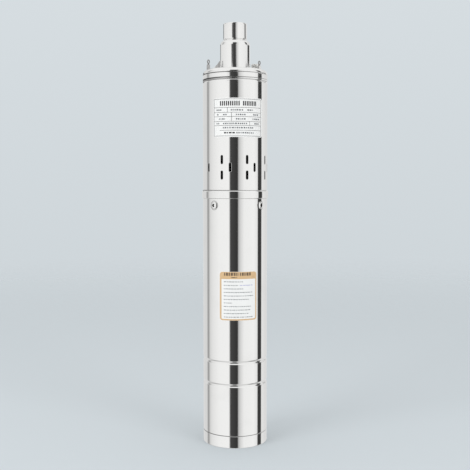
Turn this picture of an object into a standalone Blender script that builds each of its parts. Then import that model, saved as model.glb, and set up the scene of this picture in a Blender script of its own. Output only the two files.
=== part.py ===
"""Deep well submersible screw pump, standing upright on its bottom cap.

Metres, +Z up. The origin is the centre of the base and the front faces -Y.
Angles round the pump are measured from the front, positive towards +X.
"""

from math import asin, cos, degrees, pi, radians, sin, sqrt

import bmesh
import bpy
from mathutils import Matrix, Vector

MM = 0.001

# Driving dimensions in millimetres, heights above the base.
BODY_R = 46.0
WALL = 1.6
FIT = 0.3

CAP_TOP = 16.9
HOUSING_TOP = 352.1
RING_TOP = 363.4
RING_R = 47.2
BARREL_TOP = 516.8
BEAD_TOP = 519.3
RIM_TOP = 526.4
NECK_TOP = 568.0
HEAD_TOP = 574.7
STUB_SHOULDER = 576.3
TOTAL_HEIGHT = 599.0

DOME_R = 400.0
DOME_CENTRE = 135.3
DOME_EDGE_R = 45.9
DOME_ROUNDING = 6.0
RIB_CORNERS = ((20.0, 551.2), (23.6, 543.2), (35.5, 533.4), (20.0, 533.4))
RIB_THICKNESS = 3.0

NECK_R = 21.2
STUB_R = 16.7
THREAD_R = 13.2
PASSAGE_R = 12.2
CHAMBER_R = 17.0
CHAMBER_TOP = 548.0
SPIGOT_R = 15.2
SPIGOT_BOTTOM = 562.0
THREAD_BOTTOM = 581.0

GROOVE_HEIGHTS = (89.0, 121.6)
GROOVE_DEPTH = 1.3
GROOVE_HALF_WIDTH = 3.2

SLOT_GROUPS = 8
PAIRLESS_GROUPS = (4, 7)
SLOT_WIDTH = 3.4
SLOT_LENGTH = 12.4
SLOT_MIDDLE = 395.4
SLOT_STEP = 10.7
PAIR_ANGLE = -23.75
SINGLE_ANGLE = -8.75

SCREW_HEIGHT = 342.5
SCREW_ANGLE = -39.5
SCREW_HEAD_R = 5.25
SCREW_HEAD_HEIGHT = 1.8
SCREW_SHANK_R = 3.0
SCREW_SHANK_LENGTH = 12.0
SCREW_SOCKET_R = 2.3
SCREW_SOCKET_DEPTH = 1.6

EYE_PLACES = {"left": (-38.0, -2.7), "right": (34.7, 9.0)}
EYE_BOSS_TOP = 534.2
EYE_BOSS_R = 3.2
EYE_CENTRE = 545.9
EYE_LOOP_R = 2.5
EYE_WIRE_R = 0.8
EYE_SHANK_R = 1.3
EYE_SHANK_DEPTH = 6.0
EYE_PLANE_TURN = 60.0
EYE_NUT_R = 2.6
EYE_NUT_HEIGHT = 7.2

GLAND_X = 29.1
GLAND_Y = 20.9
GLAND_BOSS_TOP = 537.1
GLAND_BOSS_R = 7.4
GLAND_HEX_R = 7.2
GLAND_HEX_HEIGHT = 3.4
GLAND_NUT_R = 5.9
GLAND_NUT_HEIGHT = 4.6
GLAND_SPIGOT_R = 4.5
GLAND_SPIGOT_DEPTH = 8.0

INNER_R = BODY_R - WALL
SOCKET_R = INNER_R - FIT

STATOR_BOTTOM = 420.0
STATOR_TOP = 528.0
STATOR_R = 25.0
RUBBER_R = 22.0
ROTOR_R = 9.5
ROTOR_OFFSET = 3.2
ROTOR_PITCH = 32.0
ROTOR_BOTTOM = 416.0
ROTOR_TOP = 526.0
ROTOR_CLEARANCE = 0.8

SHAFT_R = 8.0
SHAFT_BOTTOM = 355.3
SHAFT_TOP = 383.0
COUPLING_BOTTOM = 377.0
COUPLING_TOP = 389.0
COUPLING_R = 13.0
ROD_R = 5.5
HEAD_FLANGE_TOP = 369.0
HEAD_BOSS_TOP = 371.0
HEAD_BOSS_R = 18.0

NAMEPLATE_ANGLES = (-39.8, 53.5)
NAMEPLATE_HEIGHTS = (437.0, 490.7)
RATING_ANGLES = (-27.6, 40.0)
RATING_HEIGHTS = (182.0, 250.3)
LABEL_GAP = 0.12
LABEL_THICKNESS = 0.3
LABEL_CORNER = 4.0

ROUND = 48
INNER_ROUND = 36
SMALL_ROUND = 16


def clear_scene():
    for obj in list(bpy.data.objects):
        bpy.data.objects.remove(obj)


def material(name, colour, roughness, metallic):
    found = bpy.data.materials.get(name)
    if found:
        return found
    made = bpy.data.materials.new(name)
    made.use_nodes = True
    shader = made.node_tree.nodes["Principled BSDF"]
    shader.inputs["Base Color"].default_value = (*colour, 1.0)
    shader.inputs["Roughness"].default_value = roughness
    shader.inputs["Metallic"].default_value = metallic
    return made


def polished_steel():
    return material("polished_stainless", (0.80, 0.80, 0.79), 0.08, 1.0)


def turned_steel():
    return material("turned_stainless", (0.62, 0.62, 0.61), 0.30, 1.0)


def black_rubber():
    return material("black_rubber", (0.02, 0.02, 0.02), 0.70, 0.0)


def label_white():
    return material("label_white", (0.90, 0.90, 0.88), 0.45, 0.0)


def label_orange():
    return material("label_orange", (0.80, 0.42, 0.20), 0.45, 0.0)


def seal_ceramic():
    return material("seal_ceramic", (0.75, 0.72, 0.65), 0.35, 0.0)


def around(angle, radius, height):
    """A point at this angle from the front, in millimetres."""
    turn = radians(angle)
    return Vector((radius * sin(turn), -radius * cos(turn), height))


def arc(middle_r, middle_z, radius_r, radius_z, start, end, steps):
    """Points of an ellipse's arc in the (radius, height) plane, angles in degrees from +r."""
    points = []
    for step in range(steps + 1):
        turn = radians(start + (end - start) * step / steps)
        points.append((middle_r + radius_r * cos(turn), middle_z + radius_z * sin(turn)))
    return points


def soften(mesh):
    mesh.shade_smooth()
    mesh.set_sharp_from_angle(angle=radians(30))


def object_from(name, bm, look):
    bmesh.ops.recalc_face_normals(bm, faces=bm.faces)
    mesh = bpy.data.meshes.new(name)
    bm.to_mesh(mesh)
    bm.free()
    soften(mesh)
    obj = bpy.data.objects.new(name, mesh)
    bpy.context.scene.collection.objects.link(obj)
    obj.data.materials.append(look)
    return obj


def turned(name, profile, look, segments=ROUND):
    """A body of revolution about Z. The profile is a closed outline of (radius, height) in millimetres."""
    bm = bmesh.new()
    corners = [bm.verts.new((r * MM, 0.0, z * MM)) for r, z in profile]
    edges = [bm.edges.new((a, b)) for a, b in zip(corners, corners[1:] + corners[:1])]
    bmesh.ops.spin(
        bm,
        geom=corners + edges,
        cent=(0.0, 0.0, 0.0),
        axis=(0.0, 0.0, 1.0),
        angle=2 * pi,
        steps=segments,
        use_merge=True,
    )
    bmesh.ops.remove_doubles(bm, verts=bm.verts, dist=1e-6)
    return object_from(name, bm, look)


def prism(name, sides, radius, bottom, top, look, turn=0.0):
    """An upright bar with this many sides, its corners at radius, in millimetres."""
    lift = Matrix.Translation((0, 0, (bottom + top) / 2 * MM))
    bm = bmesh.new()
    bmesh.ops.create_cone(
        bm,
        cap_ends=True,
        segments=sides,
        radius1=radius * MM,
        radius2=radius * MM,
        depth=(top - bottom) * MM,
        matrix=lift @ Matrix.Rotation(radians(turn), 4, "Z"),
    )
    return object_from(name, bm, look)


def round_bar(name, radius, bottom, top):
    """A plain round bar on the Z axis, for a hole or a small boss."""
    return prism(name, SMALL_ROUND, radius, bottom, top, turned_steel())


def stacked(name, rings, look):
    """A body skinned over level rings of points in millimetres, from one end to the other."""
    bm = bmesh.new()
    levels = [[bm.verts.new(point * MM) for point in ring] for ring in rings]
    count = len(levels[0])
    for low, high in zip(levels, levels[1:]):
        for i in range(count):
            j = (i + 1) % count
            bm.faces.new((low[i], low[j], high[j], high[i]))
    bm.faces.new(levels[0])
    bm.faces.new(levels[-1])
    return object_from(name, bm, look)


def reshape(obj, other, operation):
    """Joins other to obj, or cuts it away, and removes other."""
    modifier = obj.modifiers.new(operation.lower(), "BOOLEAN")
    modifier.operation = operation
    modifier.object = other
    bpy.context.view_layer.update()
    shaped = obj.evaluated_get(bpy.context.evaluated_depsgraph_get())
    mesh = bpy.data.meshes.new_from_object(shaped)
    mesh.name = obj.name
    obj.modifiers.clear()
    obj.data = mesh
    soften(mesh)
    bpy.data.objects.remove(other)


def join(obj, other):
    reshape(obj, other, "UNION")


def cut(obj, other):
    reshape(obj, other, "DIFFERENCE")


def place(obj, x, y):
    obj.location = (x * MM, y * MM, 0.0)
    bpy.context.view_layer.update()
    return obj


def make_bottom_cap():
    edge = 0.8
    lip = 0.7
    profile = [(0.0, 0.0), (BODY_R - edge, 0.0)]
    profile += arc(BODY_R - edge, edge, edge, edge, -90, 0, 3)[1:]
    profile += arc(BODY_R - lip, CAP_TOP - lip, lip, lip, 0, 90, 2)
    profile += [(0.0, CAP_TOP)]
    return turned("bottom_cap", profile, polished_steel())


def groove_points(height):
    """A rolled groove's outline, from its lower edge up."""
    steps = 6
    points = []
    for step in range(steps + 1):
        along = -1 + 2 * step / steps
        depth = GROOVE_DEPTH * (1 + cos(pi * along)) / 2
        points.append((BODY_R - depth, height + along * GROOVE_HALF_WIDTH))
    return points


def make_motor_housing():
    bottom = CAP_TOP + FIT
    edge = 0.9
    profile = [(0.0, bottom)]
    profile += arc(BODY_R - edge, bottom + edge, edge, edge, -90, 0, 2)
    for height in GROOVE_HEIGHTS:
        profile += groove_points(height)
    profile += arc(BODY_R - edge, HOUSING_TOP - edge, edge, edge, 0, 90, 2)
    profile += [(0.0, HOUSING_TOP)]
    housing = turned("motor_housing", profile, polished_steel())
    for number in range(4):
        hole = round_bar("screw_hole", SCREW_SHANK_R + FIT, -1, SCREW_SHANK_LENGTH + FIT)
        angle = SCREW_ANGLE + 90 * number
        inwards = -around(angle, 1, 0)
        hole.location = around(angle, BODY_R, SCREW_HEIGHT) * MM
        hole.rotation_euler = inwards.to_track_quat("Z", "Y").to_euler()
        cut(housing, hole)
    return housing


def make_head_screw(number):
    """A button-head screw, made pointing up and then laid with its head outwards."""
    head = arc(0, 0, SCREW_HEAD_R, SCREW_HEAD_HEIGHT, 18, 90, 5)
    head[-1] = (0.0, SCREW_HEAD_HEIGHT)
    profile = [(0.0, -SCREW_SHANK_LENGTH), (SCREW_SHANK_R, -SCREW_SHANK_LENGTH), (SCREW_SHANK_R, 0.0)]
    profile += [(head[0][0], 0.0)] + head
    screw = turned(f"head_screw_{number}", profile, polished_steel(), SMALL_ROUND)
    socket_bottom = SCREW_HEAD_HEIGHT - SCREW_SOCKET_DEPTH
    cut(screw, prism("socket", 6, SCREW_SOCKET_R, socket_bottom, SCREW_HEAD_HEIGHT + 1, turned_steel()))
    outwards = around(SCREW_ANGLE + 90 * (number - 1), 1, 0)
    screw.location = around(SCREW_ANGLE + 90 * (number - 1), BODY_R + FIT, SCREW_HEIGHT) * MM
    screw.rotation_euler = outwards.to_track_quat("Z", "Y").to_euler()
    return screw


def make_motor_head():
    """Top end of the motor: a spigot in the joint ring and the barrel, and a boss that guides the shaft."""
    bottom = HOUSING_TOP + FIT
    edge = 1.0
    hole_r = SHAFT_R + FIT
    profile = [(0.0, bottom), (SOCKET_R, bottom)]
    profile += [(SOCKET_R, HEAD_FLANGE_TOP - edge), (SOCKET_R - edge, HEAD_FLANGE_TOP)]
    profile += [(HEAD_BOSS_R, HEAD_FLANGE_TOP), (HEAD_BOSS_R, HEAD_BOSS_TOP), (hole_r, HEAD_BOSS_TOP)]
    profile += [(hole_r, SHAFT_BOTTOM - FIT), (0.0, SHAFT_BOTTOM - FIT)]
    return turned("motor_head", profile, turned_steel())


def make_joint_ring():
    bottom = HOUSING_TOP + FIT
    lower_edge = 1.0
    upper_edge = 2.0
    profile = [(INNER_R, bottom)]
    profile += arc(RING_R - lower_edge, bottom + lower_edge, lower_edge, lower_edge, -90, 0, 2)
    profile += arc(RING_R - upper_edge, RING_TOP - upper_edge, upper_edge, upper_edge, 0, 90, 3)
    profile += [(INNER_R, RING_TOP)]
    return turned("joint_ring", profile, polished_steel())


def slot_cutter(angle, height):
    """A stadium-shaped bar that points outwards through the wall."""
    end = (SLOT_LENGTH - SLOT_WIDTH) / 2
    half = SLOT_WIDTH / 2
    outline = arc(0, end, half, half, 0, 180, 5) + arc(0, -end, half, half, 180, 360, 5)
    reach = (BODY_R - 2 * WALL, BODY_R + WALL)
    turn = Matrix.Rotation(radians(angle), 3, "Z")
    rings = [[turn @ Vector((x, -depth, z + height)) for x, z in outline] for depth in reach]
    return stacked("slot", rings, turned_steel())


def make_pump_barrel():
    bottom = RING_TOP + FIT
    edge = 0.5
    top_inset = 1.3
    top_drop = 2.2
    profile = [(INNER_R, bottom)]
    profile += arc(BODY_R - edge, bottom + edge, edge, edge, -90, 0, 2)
    profile += arc(BODY_R - top_inset, BARREL_TOP - top_drop, top_inset, top_drop, 0, 90, 3)
    profile += [(INNER_R, BARREL_TOP)]
    barrel = turned("pump_barrel", profile, polished_steel())
    for group in range(SLOT_GROUPS):
        turn = 360 / SLOT_GROUPS * group
        cut(barrel, slot_cutter(SINGLE_ANGLE + turn, SLOT_MIDDLE))
        if group not in PAIRLESS_GROUPS:
            cut(barrel, slot_cutter(PAIR_ANGLE + turn, SLOT_MIDDLE + SLOT_STEP))
            cut(barrel, slot_cutter(PAIR_ANGLE + turn, SLOT_MIDDLE - SLOT_STEP))
    return barrel


def make_barrel_bead():
    bottom = BARREL_TOP + FIT
    edge = 0.3
    profile = [(INNER_R, bottom)]
    profile += [(BODY_R - edge, bottom), (BODY_R, bottom + edge)]
    profile += [(BODY_R, BEAD_TOP - edge), (BODY_R - edge, BEAD_TOP)]
    profile += [(INNER_R, BEAD_TOP)]
    return turned("barrel_bead", profile, polished_steel())


def make_head_rim():
    bottom = BEAD_TOP + FIT
    edge = 0.4
    profile = [(INNER_R, bottom)]
    profile += arc(BODY_R - edge, bottom + edge, edge, edge, -90, 0, 2)
    profile += arc(BODY_R - edge, RIM_TOP - edge, edge, edge, 0, 90, 2)
    profile += [(INNER_R, RIM_TOP)]
    return turned("head_rim", profile, polished_steel())


def dome_height(radius):
    """Height of the head's domed top at this distance from the axis."""
    return DOME_CENTRE + sqrt(DOME_R ** 2 - radius ** 2)


def make_outlet_head():
    """Neck and domed top in one casting, hollow from the stator up to the outlet."""
    shoulder_z = RIM_TOP + FIT
    dome_edge_slope = asin((DOME_EDGE_R - DOME_ROUNDING) / (DOME_R - DOME_ROUNDING))
    rounding_z = DOME_CENTRE + (DOME_R - DOME_ROUNDING) * cos(dome_edge_slope)
    lower_edge = 0.4
    skirt_bottom = STATOR_TOP - 26.0
    edge = 1.0
    stator_seat = STATOR_TOP + FIT
    passage_bottom = CHAMBER_TOP + 6.0
    passage_r = PASSAGE_R + 0.8
    spigot_seat = SPIGOT_BOTTOM - FIT
    spigot_hole_r = SPIGOT_R + FIT
    profile = [(spigot_hole_r, HEAD_TOP)]
    profile += arc(STUB_R, NECK_TOP, NECK_R - STUB_R, HEAD_TOP - NECK_TOP, 90, 0, 4)
    profile += [(radius, dome_height(radius)) for radius in (NECK_R, 28.0, 35.0)]
    profile += arc(
        DOME_EDGE_R - DOME_ROUNDING,
        rounding_z,
        DOME_ROUNDING,
        DOME_ROUNDING,
        90 - degrees(dome_edge_slope),
        0,
        4,
    )
    profile += [(DOME_EDGE_R, shoulder_z + lower_edge), (DOME_EDGE_R - lower_edge, shoulder_z)]
    profile += [(SOCKET_R, shoulder_z), (SOCKET_R, skirt_bottom + edge), (SOCKET_R - edge, skirt_bottom)]
    profile += [(STATOR_R + FIT, skirt_bottom), (STATOR_R + FIT, stator_seat)]
    profile += [(CHAMBER_R, stator_seat), (CHAMBER_R, CHAMBER_TOP)]
    profile += [(passage_r, passage_bottom), (passage_r, spigot_seat), (spigot_hole_r, spigot_seat)]
    head = turned("outlet_head", profile, polished_steel())
    rib = [[Vector((-r, y, z)) for r, z in RIB_CORNERS] for y in (-RIB_THICKNESS / 2, RIB_THICKNESS / 2)]
    join(head, stacked("rib", rib, polished_steel()))
    boss_bottom = RIM_TOP + 2
    for spot in EYE_PLACES.values():
        join(head, place(round_bar("eye_boss", EYE_BOSS_R, boss_bottom, EYE_BOSS_TOP), *spot))
    join(head, place(round_bar("gland_boss", GLAND_BOSS_R, boss_bottom, GLAND_BOSS_TOP), GLAND_X, GLAND_Y))
    hole_bottom = EYE_BOSS_TOP - EYE_SHANK_DEPTH - FIT
    for spot in EYE_PLACES.values():
        cut(head, place(round_bar("eye_hole", EYE_SHANK_R + FIT, hole_bottom, EYE_BOSS_TOP + 1), *spot))
    hole_bottom = GLAND_BOSS_TOP - GLAND_SPIGOT_DEPTH - FIT
    hole = round_bar("gland_hole", GLAND_SPIGOT_R + FIT, hole_bottom, GLAND_BOSS_TOP + 1)
    cut(head, place(hole, GLAND_X, GLAND_Y))
    return head


def make_outlet_stub():
    """Smooth socket with a pipe thread's bore, its spigot down in the neck."""
    edge = 0.6
    lead_in = THREAD_R - PASSAGE_R
    profile = [(THREAD_R + edge, TOTAL_HEIGHT), (STUB_R - edge, TOTAL_HEIGHT), (STUB_R, TOTAL_HEIGHT - edge)]
    profile += [(STUB_R, STUB_SHOULDER + edge), (STUB_R - edge, STUB_SHOULDER), (SPIGOT_R, STUB_SHOULDER)]
    profile += [(SPIGOT_R, SPIGOT_BOTTOM), (PASSAGE_R, SPIGOT_BOTTOM), (PASSAGE_R, THREAD_BOTTOM)]
    profile += [(THREAD_R, THREAD_BOTTOM + lead_in), (THREAD_R, TOTAL_HEIGHT - edge)]
    return turned("outlet_stub", profile, polished_steel())


def make_lifting_eye(side):
    """A round loop on a short shank, its plane turned partly towards the front."""
    steps = 24
    sides = 8
    centre = Vector((0, 0, EYE_CENTRE))
    bm = bmesh.new()
    rings = []
    for step in range(steps):
        turn = 2 * pi * step / steps
        outwards = Vector((cos(turn), 0, sin(turn)))
        ring = []
        for number in range(sides):
            tilt = 2 * pi * number / sides
            reach = outwards * (EYE_LOOP_R + EYE_WIRE_R * cos(tilt))
            point = centre + reach + Vector((0, EYE_WIRE_R * sin(tilt), 0))
            ring.append(bm.verts.new(point * MM))
        rings.append(ring)
    for ring, following in zip(rings, rings[1:] + rings[:1]):
        for i in range(sides):
            j = (i + 1) % sides
            bm.faces.new((ring[i], ring[j], following[j], following[i]))
    eye = object_from(f"lifting_eye_{side}", bm, turned_steel())
    join(eye, round_bar("shank", EYE_SHANK_R, EYE_BOSS_TOP - EYE_SHANK_DEPTH, EYE_CENTRE - EYE_LOOP_R))
    eye.rotation_euler = (0, 0, radians(EYE_PLANE_TURN))
    return place(eye, *EYE_PLACES[side])


def make_eye_nut(side):
    bottom = EYE_BOSS_TOP + FIT
    top = bottom + EYE_NUT_HEIGHT
    nut = prism(f"eye_nut_{side}", 6, EYE_NUT_R, bottom, top, turned_steel(), turn=20)
    cut(nut, round_bar("nut_bore", EYE_SHANK_R + FIT, bottom - 1, top + 1))
    return place(nut, *EYE_PLACES[side])


def make_cable_gland():
    """A hexagon body screwed into the head, a domed clamping nut and the rubber seal in its mouth."""
    hex_bottom = GLAND_BOSS_TOP + FIT
    hex_top = hex_bottom + GLAND_HEX_HEIGHT
    bore_r = 3.3
    body = prism("cable_gland_body", 6, GLAND_HEX_R, hex_bottom, hex_top, polished_steel(), turn=10)
    join(body, round_bar("spigot", GLAND_SPIGOT_R, GLAND_BOSS_TOP - GLAND_SPIGOT_DEPTH, hex_bottom + 1))
    cut(body, round_bar("bore", bore_r, hex_bottom, hex_top + 1))
    place(body, GLAND_X, GLAND_Y)
    nut_bottom = hex_top + FIT
    nut_top = nut_bottom + GLAND_NUT_HEIGHT
    mouth_r = 4.2
    dome = 1.5
    profile = [(mouth_r, nut_bottom), (GLAND_NUT_R, nut_bottom)]
    profile += arc(GLAND_NUT_R - dome, nut_top - dome, dome, dome, 0, 90, 3)
    profile += [(mouth_r, nut_top)]
    place(turned("cable_gland_nut", profile, polished_steel(), SMALL_ROUND), GLAND_X, GLAND_Y)
    seal_bottom = hex_bottom + FIT
    neck_r = bore_r - FIT
    seal_r = mouth_r - FIT
    seal_top = nut_top - 0.5
    edge = 0.6
    dimple = 1.6
    profile = [(0.0, seal_bottom), (neck_r, seal_bottom), (neck_r, nut_bottom), (seal_r, nut_bottom)]
    profile += [(seal_r, seal_top - edge), (seal_r - edge, seal_top)]
    profile += [(dimple, seal_top), (0.0, seal_top - dimple)]
    place(turned("cable_gland_seal", profile, black_rubber(), SMALL_ROUND), GLAND_X, GLAND_Y)


def level_circle(middle, radius, height, count):
    points = []
    for number in range(count):
        turn = 2 * pi * number / count
        points.append(Vector((middle.x + radius * cos(turn), middle.y + radius * sin(turn), height)))
    return points


def make_stator_tube():
    inside_r = RUBBER_R + FIT
    profile = [(inside_r, STATOR_BOTTOM), (STATOR_R, STATOR_BOTTOM)]
    profile += [(STATOR_R, STATOR_TOP), (inside_r, STATOR_TOP)]
    return turned("stator_tube", profile, turned_steel())


def rotor_levels(bottom, top):
    """Heights at which the rotor and its cavity are both drawn, so that their facets match."""
    step = ROTOR_PITCH / 9
    levels = [bottom]
    height = step * (int(bottom / step) + 1)
    while height < top:
        if min(height - bottom, top - height) > step / 4:
            levels.append(height)
        height += step
    return levels + [top]


def rotor_middle(height):
    turn = 2 * pi * height / ROTOR_PITCH
    return Vector((ROTOR_OFFSET * (1 + cos(turn)), ROTOR_OFFSET * sin(turn), 0))


def make_screw_rotor():
    """A round bar whose middle winds round the rotor's own axis once in each pitch."""
    sides = 14
    rings = []
    for height in rotor_levels(ROTOR_BOTTOM, ROTOR_TOP):
        rings.append(level_circle(rotor_middle(height), ROTOR_R, height, sides))
    return stacked("screw_rotor", rings, turned_steel())


def make_stator_rubber():
    """The rubber lining. Its hole is a slot with round ends that twists half as fast as the rotor."""
    bottom = STATOR_BOTTOM + 2.0
    top = STATOR_TOP - FIT
    radius = ROTOR_R + ROTOR_CLEARANCE
    reach = 2 * ROTOR_OFFSET
    outline = arc(reach, 0, radius, radius, -90, 90, 7)
    outline += [(reach / 3, radius), (-reach / 3, radius)]
    outline += arc(-reach, 0, radius, radius, 90, 270, 7)
    outline += [(-reach / 3, -radius), (reach / 3, -radius)]
    rings = []
    for height in rotor_levels(bottom - 1, top + 1):
        turn = Matrix.Rotation(pi * height / ROTOR_PITCH, 3, "Z")
        rings.append([turn @ Vector((x, y, height)) for x, y in outline])
    profile = [(0.0, bottom), (RUBBER_R, bottom), (RUBBER_R, top), (0.0, top)]
    rubber = turned("stator_rubber", profile, black_rubber())
    cut(rubber, stacked("cavity", rings, black_rubber()))
    return rubber


def make_coupling_rod():
    """A slanting rod from the middle of the shaft coupling to the rotor's offset foot."""
    rotor_foot = rotor_middle(ROTOR_BOTTOM)
    rings = [level_circle(Vector((0, 0, 0)), ROD_R, COUPLING_TOP + FIT, SMALL_ROUND)]
    rings.append(level_circle(rotor_foot, ROD_R, ROTOR_BOTTOM - FIT, SMALL_ROUND))
    return stacked("coupling_rod", rings, turned_steel())


def make_shaft_coupling():
    bore_r = SHAFT_R + FIT
    edge = 1.0
    profile = [(bore_r, COUPLING_BOTTOM), (COUPLING_R, COUPLING_BOTTOM), (COUPLING_R, COUPLING_TOP - edge)]
    profile += [(COUPLING_R - edge, COUPLING_TOP), (0.0, COUPLING_TOP)]
    profile += [(0.0, SHAFT_TOP + FIT), (bore_r, SHAFT_TOP + FIT)]
    return turned("shaft_coupling", profile, turned_steel(), INNER_ROUND)


def make_motor_shaft():
    profile = [(0.0, SHAFT_BOTTOM), (SHAFT_R, SHAFT_BOTTOM), (SHAFT_R, SHAFT_TOP), (0.0, SHAFT_TOP)]
    return turned("motor_shaft", profile, turned_steel(), INNER_ROUND)


def make_mechanical_seal():
    bottom = HEAD_BOSS_TOP + FIT
    top = COUPLING_BOTTOM - FIT
    step_z = top - 2.0
    inside_r = SHAFT_R + FIT
    seat_r = 15.0
    face_r = 12.5
    profile = [(inside_r, bottom), (seat_r, bottom), (seat_r, step_z)]
    profile += [(face_r, step_z), (face_r, top), (inside_r, top)]
    return turned("mechanical_seal", profile, seal_ceramic(), INNER_ROUND)


def make_label(name, angles, heights, look):
    """A thin curved plate on the tube, with rounded corners."""
    corner = LABEL_CORNER
    inner = BODY_R + LABEL_GAP
    outer = inner + LABEL_THICKNESS
    corner_turn = corner / BODY_R * 180 / pi
    corner_steps = 4
    middle_steps = 22
    columns = [0.0]
    for step in range(1, corner_steps + 1):
        columns.append(corner_turn * (1 - cos(pi / 2 * step / corner_steps)))
    span = angles[1] - angles[0]
    for step in range(1, middle_steps):
        columns.append(corner_turn + (span - 2 * corner_turn) * step / middle_steps)
    columns += [span - value for value in reversed(columns[: corner_steps + 1])]
    bm = bmesh.new()
    frames = []
    for value in columns:
        from_end = min(value, span - value) / 180 * pi * BODY_R
        inset = corner - min(from_end, corner)
        shorter = corner - sqrt(corner * corner - inset * inset)
        low = heights[0] + shorter
        high = heights[1] - shorter
        angle = angles[0] + value
        corners = ((inner, low), (outer, low), (outer, high), (inner, high))
        frames.append([bm.verts.new(around(angle, radius, z) * MM) for radius, z in corners])
    for frame, following in zip(frames, frames[1:]):
        for i in range(4):
            j = (i + 1) % 4
            bm.faces.new((frame[i], frame[j], following[j], following[i]))
    bm.faces.new(frames[0])
    bm.faces.new(frames[-1])
    return object_from(name, bm, look)


def main():
    clear_scene()
    make_bottom_cap()
    make_motor_housing()
    for number in range(1, 5):
        make_head_screw(number)
    make_label("rating_label", RATING_ANGLES, RATING_HEIGHTS, label_orange())
    make_motor_head()
    make_joint_ring()
    make_pump_barrel()
    make_label("nameplate", NAMEPLATE_ANGLES, NAMEPLATE_HEIGHTS, label_white())
    make_barrel_bead()
    make_head_rim()
    make_outlet_head()
    make_outlet_stub()
    for side in EYE_PLACES:
        make_lifting_eye(side)
        make_eye_nut(side)
    make_cable_gland()
    make_stator_tube()
    make_stator_rubber()
    make_screw_rotor()
    make_coupling_rod()
    make_shaft_coupling()
    make_motor_shaft()
    make_mechanical_seal()


main()
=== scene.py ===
"""Looks for the deep well submersible pump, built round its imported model.

Lengths are in millimetres until a mesh is made. +Z is up, the origin is the centre of the base, and the
front faces -Y. Angles round the pump are measured from the front, positive towards +X. Lengths in
materials, lamps and the camera are in metres.
"""

import random
from math import asin, ceil, cos, degrees, pi, radians, sin, sqrt, tan

import bmesh
import bpy
from mathutils import Matrix, Vector


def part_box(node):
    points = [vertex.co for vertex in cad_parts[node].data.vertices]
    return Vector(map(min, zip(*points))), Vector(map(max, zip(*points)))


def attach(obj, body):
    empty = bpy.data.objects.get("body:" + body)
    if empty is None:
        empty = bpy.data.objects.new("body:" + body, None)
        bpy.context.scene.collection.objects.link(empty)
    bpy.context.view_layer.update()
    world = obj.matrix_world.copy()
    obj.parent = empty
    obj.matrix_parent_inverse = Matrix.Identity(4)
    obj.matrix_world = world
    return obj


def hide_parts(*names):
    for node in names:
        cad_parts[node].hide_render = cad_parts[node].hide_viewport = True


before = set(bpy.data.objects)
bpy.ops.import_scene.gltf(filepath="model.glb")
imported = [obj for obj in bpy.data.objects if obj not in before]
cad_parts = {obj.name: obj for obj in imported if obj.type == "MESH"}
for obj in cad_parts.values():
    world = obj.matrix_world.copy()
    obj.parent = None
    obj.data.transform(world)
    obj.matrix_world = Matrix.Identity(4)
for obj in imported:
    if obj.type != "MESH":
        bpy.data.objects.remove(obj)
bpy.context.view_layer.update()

MM = 0.001
BODY = "root"

POLISHED = "polished_stainless"
TURNED = "turned_stainless"

# Driving dimensions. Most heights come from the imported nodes. FIT is the clearance between fitted
# pieces, and SEAM is the gap that shows between two tubes.
BODY_R = 46.0
WALL = 1.6
FIT = 0.3
SEAM = 0.1
INNER_R = BODY_R - WALL
RING_R = 47.2
SOCKET_R = 44.1
NECK_R = 21.2
STUB_R = 16.7
STATOR_R = 25.0
RUBBER_R = 22.0
SHAFT_R = 8.0
SCREW_HEIGHT = 342.5
SCREW_ANGLE = -39.5

# How many points go round a piece.
ROUND = 256
BORE_ROUND = 160
HIDDEN_ROUND = 128
MEDIUM_ROUND = 96
SMALL_ROUND = 72
THIN_ROUND = 48
WIRE_ROUND = 24

SHARP_ANGLE = 40.0
WORN_ANGLE = 12.0
SUPPORT_GAP = 0.6


def heights(node):
    """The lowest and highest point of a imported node."""
    low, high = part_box(node)
    return low.z / MM, high.z / MM


def around(angle, radius, height):
    """A point at this angle from the front."""
    turn = radians(angle)
    return Vector((radius * sin(turn), -radius * cos(turn), height))


def arc(middle_r, middle_z, radius_r, radius_z, start, end, steps):
    """Points of an ellipse's arc in the (radius, height) plane, angles in degrees from +r."""
    points = []
    for step in range(steps + 1):
        turn = radians(start + (end - start) * step / steps)
        points.append((middle_r + radius_r * cos(turn), middle_z + radius_z * sin(turn)))
    return points


def lower_edge(radius, bottom, rounding, steps=6):
    """The rounded edge at a tube's foot, going outwards and up."""
    return arc(radius - rounding, bottom + rounding, rounding, rounding, -90, 0, steps)


def upper_edge(radius, top, rounding, steps=6):
    """The rounded edge at a tube's top, going up and inwards."""
    return arc(radius - rounding, top - rounding, rounding, rounding, 0, 90, steps)


# Shader helpers


def set_input(tree, socket, value):
    """Links a socket to another node's output, or gives it a plain value."""
    if isinstance(value, bpy.types.NodeSocket):
        tree.links.new(value, socket)
    else:
        socket.default_value = value


def add_node(tree, kind, inputs=None, **settings):
    """Adds a node, sets its properties, and sets or links its inputs."""
    made = tree.nodes.new(kind)
    for name, value in settings.items():
        setattr(made, name, value)
    for name, value in (inputs or {}).items():
        set_input(tree, made.inputs[name], value)
    return made


def maths(tree, operation, first, second=0.0):
    return add_node(tree, "ShaderNodeMath", {0: first, 1: second}, operation=operation).outputs[0]


def times(tree, first, second):
    return maths(tree, "MULTIPLY", first, second)


def plus(tree, first, second):
    return maths(tree, "ADD", first, second)


def remap(tree, value, low, high, to_low=0.0, to_high=1.0, smooth=False):
    return add_node(
        tree,
        "ShaderNodeMapRange",
        {"Value": value, "From Min": low, "From Max": high, "To Min": to_low, "To Max": to_high},
        interpolation_type="SMOOTHSTEP" if smooth else "LINEAR",
    ).outputs["Result"]


def blend_colours(tree, factor, first, second):
    sides = {"Factor": factor, 6: first, 7: second}
    return add_node(tree, "ShaderNodeMix", sides, data_type="RGBA").outputs[2]


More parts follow.
